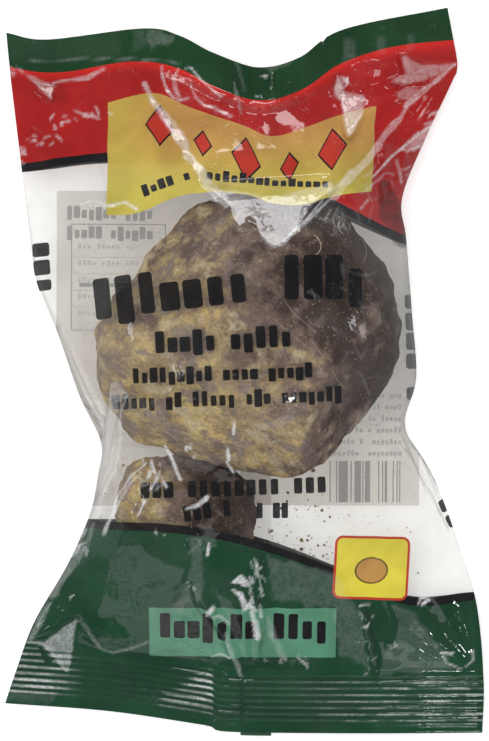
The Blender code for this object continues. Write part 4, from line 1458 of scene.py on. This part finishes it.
@dataclass
class Film:
    """One side of the bag's film, from its flat plan to its finished, creased sheet."""

    side: FilmPrint
    plan: BagPlan
    shift: Vector
    columns: int
    foot_rows: int
    body_rows: int
    head_rows: int
    under: np.ndarray = field(default_factory=lambda: np.zeros(0))
    back_face: np.ndarray = field(default_factory=lambda: np.zeros(0))
    seam: np.ndarray = field(default_factory=lambda: np.zeros(0))

    def flat_places(self) -> np.ndarray:
        """The grid's places on the plan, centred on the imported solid, in millimetres."""
        grid = self.plan.grid(self.columns, self.foot_rows, self.body_rows, self.head_rows)
        grid[:, :, 0] += self.shift.x / MM
        grid[:, :, 1] += self.shift.y / MM
        return grid

    def start(self, solid: Surface) -> bpy.types.Object:
        """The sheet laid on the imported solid.

        Args:
            solid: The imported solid's surface.

        Returns:
            The sheet, with its flat map.
        """
        grid = self.flat_places()
        rows, columns = grid.shape[:2]
        mesh = bmesh.new()
        bmesh.ops.create_grid(mesh, x_segments=columns - 1, y_segments=rows - 1, size=1.0)
        flat = grid.reshape(-1, 3)
        middle = flat[:, 0].mean()
        mesh.verts.ensure_lookup_table()
        faces = np.empty((len(flat), 2))
        for vertex, (x, y, _), face in zip(mesh.verts, flat, faces):
            inner_x = (x - math.copysign(0.7, x - middle)) * MM
            inner_y = y * (1 - 0.006) * MM
            face[:] = solid.foot(inner_x, inner_y, 3 * MM), solid.top(inner_x, inner_y, 4 * MM)
            vertex.co = Vector((x * MM, y * MM, face[1 if self.side is FilmPrint.FRONT else 0]))
        self.back_face = faces[:, 0] / MM
        self.seam = faces.mean(1) / MM
        bmesh.ops.smooth_vert(mesh, verts=mesh.verts[:], factor=0.5, use_axis_z=True)
        bmesh.ops.smooth_vert(mesh, verts=mesh.verts[:], factor=0.5, use_axis_z=True)
        layer = mesh.loops.layers.uv.new(FLAT_MAP)
        for face in mesh.faces:
            for loop in face.loops:
                x, y, _ = flat[loop.vert.index]
                loop[layer].uv = (x / FLAT_WIDTH + 0.5, y / FLAT_LENGTH + 0.5)
        if self.side is FilmPrint.BACK:
            bmesh.ops.reverse_faces(mesh, faces=mesh.faces[:])
        return add_piece("film_" + self.side.value, mesh, None)

    def tightened(self, sheet: bpy.types.Object, contents: Surface, rounds: int) -> None:
        """Pulls the sheet taut between its seals and side edges, over whatever it rests on.

        Args:
            sheet: The sheet.
            contents: The lumps that hold it up.
            rounds: How many times each place moves to the mean of its neighbours.
        """
        places = points_of(sheet.data)
        rows = self.foot_rows + self.body_rows + self.head_rows + 1
        height = places[:, 2].reshape(rows, self.columns + 1).copy()
        under = np.array([contents.top(x, y, -1.0) + FILM_GAP for x, y in places[:, :2]]).reshape(height.shape)
        low, high = self.foot_rows + 1, self.foot_rows + self.body_rows
        for _ in range(rounds):
            beside = height[low:high, :-2] + height[low:high, 2:]
            along = height[low - 1:high - 1, 1:-1] + height[low + 1:high + 1, 1:-1]
            height[low:high, 1:-1] = np.maximum((beside + along) / 4, under[low:high, 1:-1])
        places[:, 2] = height.ravel()
        self.under = np.maximum(under.ravel() / MM, self.back_face + 2 * FILM_GAP / MM)
        move_points(sheet.data, places)

    def flat_of(self, data: bpy.types.Mesh) -> np.ndarray:
        """Each vertex's place on the flat film, in millimetres."""
        loops = np.empty(len(data.loops), np.int32)
        data.loops.foreach_get("vertex_index", loops)
        maps = np.empty(len(data.loops) * 2, np.float32)
        data.uv_layers[FLAT_MAP].data.foreach_get("uv", maps)
        flat = np.zeros((len(data.vertices), 2))
        flat[loops] = maps.reshape(-1, 2)
        return (flat - 0.5) * np.array([FLAT_WIDTH, FLAT_LENGTH])

    def crease(self, sheet: bpy.types.Object) -> None:
        """Adds the folds, crumples and the crimped ridges of the seal to the sheet."""
        data = sheet.data
        places = points_of(data)
        normals = np.empty(len(data.vertices) * 3, np.float32)
        data.vertices.foreach_get("normal", normals)
        normals = normals.reshape(-1, 3)
        flat = self.flat_of(data)
        x, y = flat[:, 0], flat[:, 1]
        foot = line_along(self.plan.bottom, 0)(x)
        head = line_along(self.plan.top, 0)(x)
        left, right = line_along(self.plan.left, 1)(y), line_along(self.plan.right, 1)(y)
        rim = np.minimum(np.minimum(x - left, right - x), 4.0) / 4.0
        body = soft_step(y - foot, self.plan.bottom_seal - 1, self.plan.bottom_seal + 5)
        body *= soft_step(head - y, self.plan.top_seal - 1, self.plan.top_seal + 5)
        lift = np.zeros(len(x))
        for fold in (*FANS, *(FRONT_CREASES if self.side is FilmPrint.FRONT else ())):
            lift += fold.lift(x, y)
        away = np.hypot((x - 1.5) / 50, (y - 11.5) / 47)
        loose = soft_step(away, 0.55, 1.15)
        lift += self.crumple(x, y) * (0.02 + 0.12 * loose)
        lift *= body * np.clip(rim, 0, 1)
        ridge = 0.5 + 0.5 * np.cos(2 * math.pi * (y - foot - 3.6) / 2.05)
        crimped = soft_step(y - foot, 3.0, 4.0) * soft_step(self.plan.bottom_seal - (y - foot), 0.2, 1.4)
        crimp = 0.34 * ridge * crimped * (0.8 + 0.2 * ripple(x, y, 9.0, 71))
        moved = places + normals * (lift * MM)[:, None]
        if self.side is FilmPrint.FRONT:
            steep = np.clip(normals[:, 2:], 0.25, None)
            slope = -normals[:, :2] / steep
            height = moved[:, 2] / MM
            strips = [*STRIPS, *(strip for shards in SHARDS for strip in shards.strips())]
            for strip in strips:
                near = near_to(strip.path, x, y, MARK_REACH)
                height[near] += strip.lift(x[near], y[near], slope[near]) * (body * np.clip(rim, 0, 1))[near]
            for facet in FACETS:
                near = near_to(facet.corners, x, y, MARK_REACH)
                height[near] = facet.height(x[near], y[near], height[near], self.under[near])
            moved[:, 2] = np.maximum(height, self.under) * MM
            # Painted highlights: pale marks from the strips, shards, facets, sheen patches and the seal's ridge
            # crests.
            clear = np.ones(len(x))
            for mark in (*strips, *FACETS, *PAINTED_SHEEN_PATCHES):
                near = near_to(mark.path if isinstance(mark, Strip) else mark.corners, x, y, MARK_REACH)
                clear[near] *= 1 - np.clip(mark.painted_share(x[near], y[near]), 0, 1)
            clear *= 1 - self.crimp_painted_highlights(x, y - foot, ridge) * crimped
            # Painted shade: darker crimp valleys and the fold shade strips.
            dark = 0.28 * crimped * soft_step(1 - ridge, 0.55, 0.95)
            for fold in PAINTED_FOLD_SHADE:
                near = near_to(fold.path, x, y, MARK_REACH)
                dark[near] = np.maximum(dark[near], fold.painted_share(x[near], y[near]))
            marks = data.attributes.new(PAINTED_LIGHT_MARKS, "FLOAT", "POINT")
            marks.data.foreach_set("value", (1 - clear - dark).astype(np.float32))
        edge = np.minimum(np.minimum(x - left, right - x), np.minimum(y - foot, head - y))
        edge = np.clip(1 - edge / SIDE_FOLD, 0, 1) ** 2
        shut = np.maximum(edge, 1 - body)
        apart = FILM_GAP / 2 / MM * (1 - edge) * (1 if self.side is FilmPrint.FRONT else -1)
        folds = sum(fold.lift(x, y) for fold in HEAD_CREASES) * np.clip(rim, 0, 1) * soft_step(y, 80.0, 90.0)
        moved[:, 2] += ((self.seam + apart) * MM - moved[:, 2]) * shut + (crimp + folds * shut) * MM
        if self.side is FilmPrint.BACK:
            moved[:, 2] = np.maximum(moved[:, 2], 0.45 * MM)
        move_points(data, moved)

    @staticmethod
    def crimp_painted_highlights(x: np.ndarray, up: np.ndarray, ridge: np.ndarray) -> np.ndarray:
        """How strongly highlights are painted on the seal's ridge crests, given the places across and up from its
        foot.
        """
        left = 0.75 * soft_step(-x, 50.0, 66.0)
        slant = -9.0 - 1.15 * (18.4 - up)
        middle = 0.8 * soft_step(x, slant - 5.0, slant + 1.0) * soft_step(-x, 9.5, 10.6) * soft_step(up, 3.0, 5.0)
        right = 0.55 * soft_step(x, 8.0, 66.0) * soft_step(ridge, 0.6, 1.0)
        streaks = soft_step(ripple(x / 7.0, up * 1.6, 1.0, 81) + 0.5 * ripple(x / 2.0, up * 3.0, 1.0, 82), -0.25, 0.55)
        crest = soft_step(ridge, 0.35, 0.95)
        crest_highlight = np.clip((left + middle) * np.clip(streaks + 0.35, 0, 1) + right * streaks, 0, 0.8)
        return (crest_highlight + 0.06 * soft_step(x, -60.0, 60.0)) * crest

    @staticmethod
    def crumple(x: np.ndarray, y: np.ndarray) -> np.ndarray:
        """Small flat facets with sharp edges between them, as in handled film."""
        total = np.zeros(len(x))
        for number, (angle, size) in enumerate(((12, 17), (74, 13), (131, 15), (48, 8), (160, 7))):
            turn = math.radians(angle)
            across = x * math.cos(turn) + y * math.sin(turn)
            sway = ripple(x, y, 19.0, 30 + number) * 0.9
            share = np.clip(ripple(x, y, 23.0, 50 + number) + 0.35, 0, 1)
            total += tent(across / size + sway) * share * size / 15
        return total


@dataclass
class FinSeal:
    """The film's lengthwise seal: a narrow strip folded flat down the middle of the back."""

    plan: BagPlan
    shift: Vector
    left: float = -1.2
    right: float = 8.6
    past_end: float = 1.0
    rows: int = 110

    def build(self, back: Surface, material: bpy.types.Material) -> bpy.types.Object:
        """Makes the finished piece just below the back film."""
        mesh = bmesh.new()
        bmesh.ops.create_grid(mesh, x_segments=8, y_segments=self.rows, size=1.0)
        layer = mesh.loops.layers.uv.new(FLAT_MAP)
        foot, head = line_along(self.plan.bottom, 0), line_along(self.plan.top, 0)
        for vertex in mesh.verts:
            x = self.left + (vertex.co.x + 1) / 2 * (self.right - self.left)
            low, high = float(foot(x)) - self.past_end, float(head(x)) - 1.0
            y = low + (vertex.co.y + 1) / 2 * (high - low)
            x += self.shift.x / MM
            y += self.shift.y / MM
            over = back.foot(x * MM, max(y, low + self.past_end + 0.5) * MM, 3 * MM)
            vertex.co = Vector((x * MM, y * MM, max(over - 0.3 * MM, 0.12 * MM)))
        for face in mesh.faces:
            for loop in face.loops:
                place = loop.vert.co / MM
                loop[layer].uv = (place.x / FLAT_WIDTH + 0.5, place.y / FLAT_LENGTH + 0.5)
        bmesh.ops.reverse_faces(mesh, faces=mesh.faces[:])
        made = add_piece("fin_seal", mesh, material)
        log.info("fin_seal: %d faces", len(made.data.polygons))
        return made


# ---- Crumbs and dust ----------------------------------------------------------------------------------


@dataclass
class Crumbs:
    """Loose crumbs of jaggery on the back film, and fine sugar that clings inside the front film."""

    shift: Vector
    finish: SugarFinish
    seed: int = 11

    @staticmethod
    def grain(mesh: bmesh.types.BMesh, place: Vector, size: float, rng: np.random.Generator) -> None:
        """Adds one angular grain."""
        made = bmesh.ops.create_icosphere(mesh, subdivisions=1, radius=size)
        for vertex in made["verts"]:
            vertex.co *= float(rng.uniform(0.65, 1.25))
            vertex.co.z *= 0.75
            vertex.co += place

    def build(self, groups: Groups, under: Surface, over: Surface) -> list[bpy.types.Object]:
        """Makes the crumbs and the dust.

        Args:
            groups: The shared shader groups.
            under: The back film.
            over: The front film.

        Returns:
            The two pieces.
        """
        rng = np.random.default_rng(self.seed)
        material = self.finish.material(groups)
        loose, dust = bmesh.new(), bmesh.new()
        for _ in range(520):
            x, y = rng.normal(-4, 26), rng.normal(-62, 13)
            if not (-46 < x < 56 and -92 < y < -30):
                continue
            size = float(rng.gamma(2.0, 0.09) + 0.08) * MM
            low = under.top(x * MM, y * MM, 1 * MM)
            high = over.foot(x * MM, y * MM, 5 * MM)
            if high - low > 2.4 * size:
                self.grain(loose, Vector((x * MM, y * MM, low + size * 0.8)), size, rng)
        for number in range(560):
            on_ball = number % 9 == 0
            x, y = rng.normal(20, 16) if on_ball else rng.normal(8, 30), rng.normal(12 if on_ball else -54, 13)
            if not (-46 < x < 48 and -92 < y < 60):
                continue
            size = float(rng.gamma(2.0, 0.035) + 0.06) * MM
            high = over.foot(x * MM, y * MM, 5 * MM)
            self.grain(dust, Vector((x * MM, y * MM, high - size * 1.2)), size, rng)
        made = [add_piece("crumbs", loose, material, False), add_piece("sugar_dust", dust, material, False)]
        for piece in made:
            log.info("%s: %d faces", piece.name, len(piece.data.polygons))
        return made


@dataclass(frozen=True)
class Fibre:
    """One thin plant fibre that lies on the ball, as points across and along, in millimetres."""

    path: Points
    thickness: float = 0.16


FIBRES = (
    Fibre(((18.0, 32.2), (19.8, 34.0), (22.0, 35.6), (23.5, 38.0), (22.8, 40.6), (21.2, 42.0)), 0.3),
    Fibre(((29.6, 51.0), (30.2, 48.0), (29.0, 45.0), (30.6, 42.4)), 0.2),
    Fibre(((30.2, 48.0), (32.4, 46.2), (33.0, 43.6)), 0.14),
    Fibre(((24.6, 47.6), (27.0, 46.6), (28.6, 44.4)), 0.14),
    Fibre(((9.0, 16.2), (12.6, 12.8), (17.0, 9.4), (19.6, 7.0)), 0.14),
    Fibre(((12.0, 22.0), (16.0, 17.0), (22.0, 12.0)), 0.12),
    Fibre(((20.0, 10.0), (24.0, 5.0), (27.0, 3.6)), 0.12),
    Fibre(((27.0, 0.6), (28.6, -2.4), (31.0, -5.0)), 0.14),
    Fibre(((36.0, 44.0), (38.0, 38.0), (37.0, 34.0)), 0.12),
    Fibre(((-27.0, 43.0), (-25.6, 40.2), (-23.0, 38.4)), 0.14),
    Fibre(((-29.4, -15.6), (-24.0, -19.0), (-20.0, -22.6), (-18.2, -25.0)), 0.2),
    Fibre(((-26.0, -17.4), (-21.6, -21.0), (-20.4, -24.0)), 0.16),
)


@dataclass
class Fibres:
    """The plant fibres on the ball, as thin three-sided tubes."""

    colour: Colour = (0.62, 0.52, 0.36)
    steps: int = 18

    def material(self) -> bpy.types.Material:
        """Builds the pale straw finish, streaked along its length."""
        made = bpy.data.materials.new("plant_fibre")
        made.use_nodes = True
        graph = Graph(made.node_tree)
        place = graph.node("TexCoord").outputs["Object"]
        streaks = graph.spread(graph.noise(place, 1.6 * MM), 0.3, 0.7, 0.7, 1.1)
        shade = graph.node("CombineColor", {0: streaks, 1: streaks, 2: streaks}).outputs[0]
        shader = graph.node("BsdfPrincipled", {
            "Base Color": graph.blend(1.0, self.colour, shade, "MULTIPLY"), "Roughness": 0.6})
        output = graph.node("OutputMaterial")
        graph.put(output.inputs["Surface"], shader.outputs[0])
        return made

    def build(self, ball: Surface, shift: Vector) -> bpy.types.Object:
        """Makes the finished piece on the ball's skin."""
        mesh = bmesh.new()
        for fibre in FIBRES:
            path = curve_through(fibre.path, np.linspace(0, len(fibre.path) - 1, self.steps)) * MM
            rings = []
            for (x, y), (dx, dy) in zip(path, np.gradient(path, axis=0)):
                x, y = x + shift.x, y + shift.y
                middle = Vector((x, y, ball.top(x, y, FILM_GAP) + fibre.thickness * 0.3 * MM))
                side = Vector((dy, -dx, 0)).normalized()
                ways = (side, Vector((0, 0, 1)), -side)
                rings.append([mesh.verts.new(middle + way * fibre.thickness / 2 * MM) for way in ways])
            for near, far in zip(rings[:-1], rings[1:]):
                for here, there in ((0, 1), (1, 2), (2, 0)):
                    mesh.faces.new((near[here], near[there], far[there], far[here]))
            mesh.faces.new(rings[0][::-1])
            mesh.faces.new(rings[-1])
        bmesh.ops.recalc_face_normals(mesh, faces=mesh.faces[:])
        made = add_piece("plant_fibres", mesh, self.material())
        log.info("plant_fibres: %d faces", len(made.data.polygons))
        return made


# ---- The studio ---------------------------------------------------------------------------------------


@dataclass(frozen=True)
class Studio:
    """A pale floor, soft lights and a camera that looks straight down on the bag."""

    camera_height: float = 1.15
    view_length: float = 0.2353
    view_middle: tuple[float, float] = (0.0, 0.0)
    level: float = 0.008
    room: float = 0.45
    mirrored_room: float = 0.05

    def build(self) -> None:
        """Makes the floor, the lights, the room and the camera."""
        mesh = bmesh.new()
        bmesh.ops.create_grid(mesh, x_segments=8, y_segments=8, size=2.5)
        floor = add_piece("floor", mesh, FloorFinish().material())
        for name, box in LIGHTS.items():
            box.build(name)
        world = bpy.data.worlds.new("room")
        world.use_nodes = True
        graph = Graph(world.node_tree)
        mirrored = graph.node("LightPath").outputs["Is Glossy Ray"]
        strength = graph.math("MULTIPLY_ADD", mirrored, self.mirrored_room - self.room, self.room)
        background = graph.node("Background", {"Color": (1.0, 1.0, 1.0), "Strength": strength})
        output = graph.node("OutputWorld")
        graph.put(output.inputs["Surface"], background.outputs[0])
        scene = bpy.context.scene
        scene.world = world
        scene.view_settings.view_transform = "Standard"
        lens = bpy.data.cameras.new("camera")
        lens.sensor_width = 36.0
        lens.lens = 36.0 * (self.camera_height - self.level) / self.view_length
        lens.clip_start, lens.clip_end = 0.05, 20.0
        camera = bpy.data.objects.new("camera", lens)
        camera.location = (*self.view_middle, self.camera_height)
        scene.collection.objects.link(camera)
        scene.camera = camera
        log.info("studio: %d lights", len(LIGHTS))


# ---- The whole pack -----------------------------------------------------------------------------------


def make_lumps(shift: Vector) -> tuple[Lump, Lump]:
    """The two lumps, in their places in the bag."""
    centre = Vector((1.5 * MM, 11.5 * MM, 28 * MM)) + shift
    ball = Lump(
        name="jaggery_ball", middle=(1.5, 11.5),
        radii=((-180, 49.0), (-165, 49.6), (-150, 50.0), (-138, 53.0), (-127, 48.0), (-105, 42.5), (-90, 44.5),
               (-68, 47.2),
               (-45, 45.4), (-22, 46.6), (0, 48.0), (22, 48.2), (45, 47.6), (68, 46.8), (90, 45.0), (113, 44.0),
               (132, 40.5), (152, 40.2), (168, 45.0)),
        height=55.0, squareness=2.45,
        facets=(((0.035, 0.675, 0.737), 36.2), ((0.75, -0.45, 0.5), 36.0), ((-0.6, 0.5, 0.62), 31.5),
                ((-0.35, -0.75, 0.6), 30.5), ((0.75, 0.3, 0.62), 37.0), ((0.0, 0.0, -1.0), 26.2)),
        finish=SugarFinish("jaggery_ball_skin", middle=tuple(centre), yellow_side=(-0.92, -0.42, 0.1)),
        shift=shift)
    lump_centre = Vector((-19.0 * MM, -45.6 * MM, 17 * MM)) + shift
    broken = Lump(
        name="broken_lump", middle=(-19.0, -45.6),
        radii=((-180, 22.6), (-140, 21.0), (-100, 22.5), (-60, 21.0), (-20, 24.4), (20, 23.6), (60, 21.2),
               (100, 21.4), (140, 25.0)),
        height=32.0, squareness=2.2,
        facets=(((0.5, -0.4, 0.76), 14.0), ((-0.55, -0.25, 0.8), 13.4), ((0.1, 0.8, 0.6), 15.5),
                ((0.0, 0.0, -1.0), 14.8)),
        finish=SugarFinish("broken_lump_skin", middle=tuple(lump_centre), lean=-0.03, reach=0.03),
        lumpiness=1.8, roughness=0.8, seed=23.0, shift=shift)
    return ball, broken


def rides_in_bag(piece: bpy.types.Object) -> None:
    """Ties a piece to the pack's body and hides the solid that it stands for."""
    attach(piece, BODY)
    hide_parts(BAG_NODE)


def main() -> None:
    """Builds the pack and its studio."""
    logging.basicConfig(level=logging.INFO, format="%(name)s: %(message)s")
    groups = Groups()
    plan = BagPlan()
    shift = centring()
    solid = Surface(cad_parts[BAG_NODE])
    lines = PrintLines(top_edge=plan.top)
    lumps = make_lumps(shift)
    for lump in lumps:
        rides_in_bag(lump.build(groups))

    contents = Surface(*(bpy.data.objects[lump.name] for lump in lumps))
    back = Film(FilmPrint.BACK, plan, shift, 120, 30, 128, 8)
    back_sheet = back.start(solid)
    front = Film(FilmPrint.FRONT, plan, shift, 250, 60, 316, 12)
    front_sheet = front.start(solid)
    front.tightened(front_sheet, contents, 60)
    for film, sheet in ((front, front_sheet), (back, back_sheet)):
        film.crease(sheet)
        sheet.data.shade_smooth()
        sheet.data.materials.clear()
        sheet.data.materials.append(FilmFinish(film.side, lines).material(groups))
        log.info("%s: %d faces", sheet.name, len(sheet.data.polygons))
        rides_in_bag(sheet)
    fin = FinSeal(plan, shift).build(Surface(back_sheet), back_sheet.data.materials[0])
    rides_in_bag(fin)
    crumb_finish = SugarFinish("crumb_grains", lean=0.0, reach=1.0)
    for piece in Crumbs(shift, crumb_finish).build(groups, Surface(back_sheet), Surface(front_sheet)):
        rides_in_bag(piece)
    rides_in_bag(Fibres().build(Surface(bpy.data.objects[lumps[0].name]), shift))
    Studio().build()


if __name__ == "__main__":
    main()
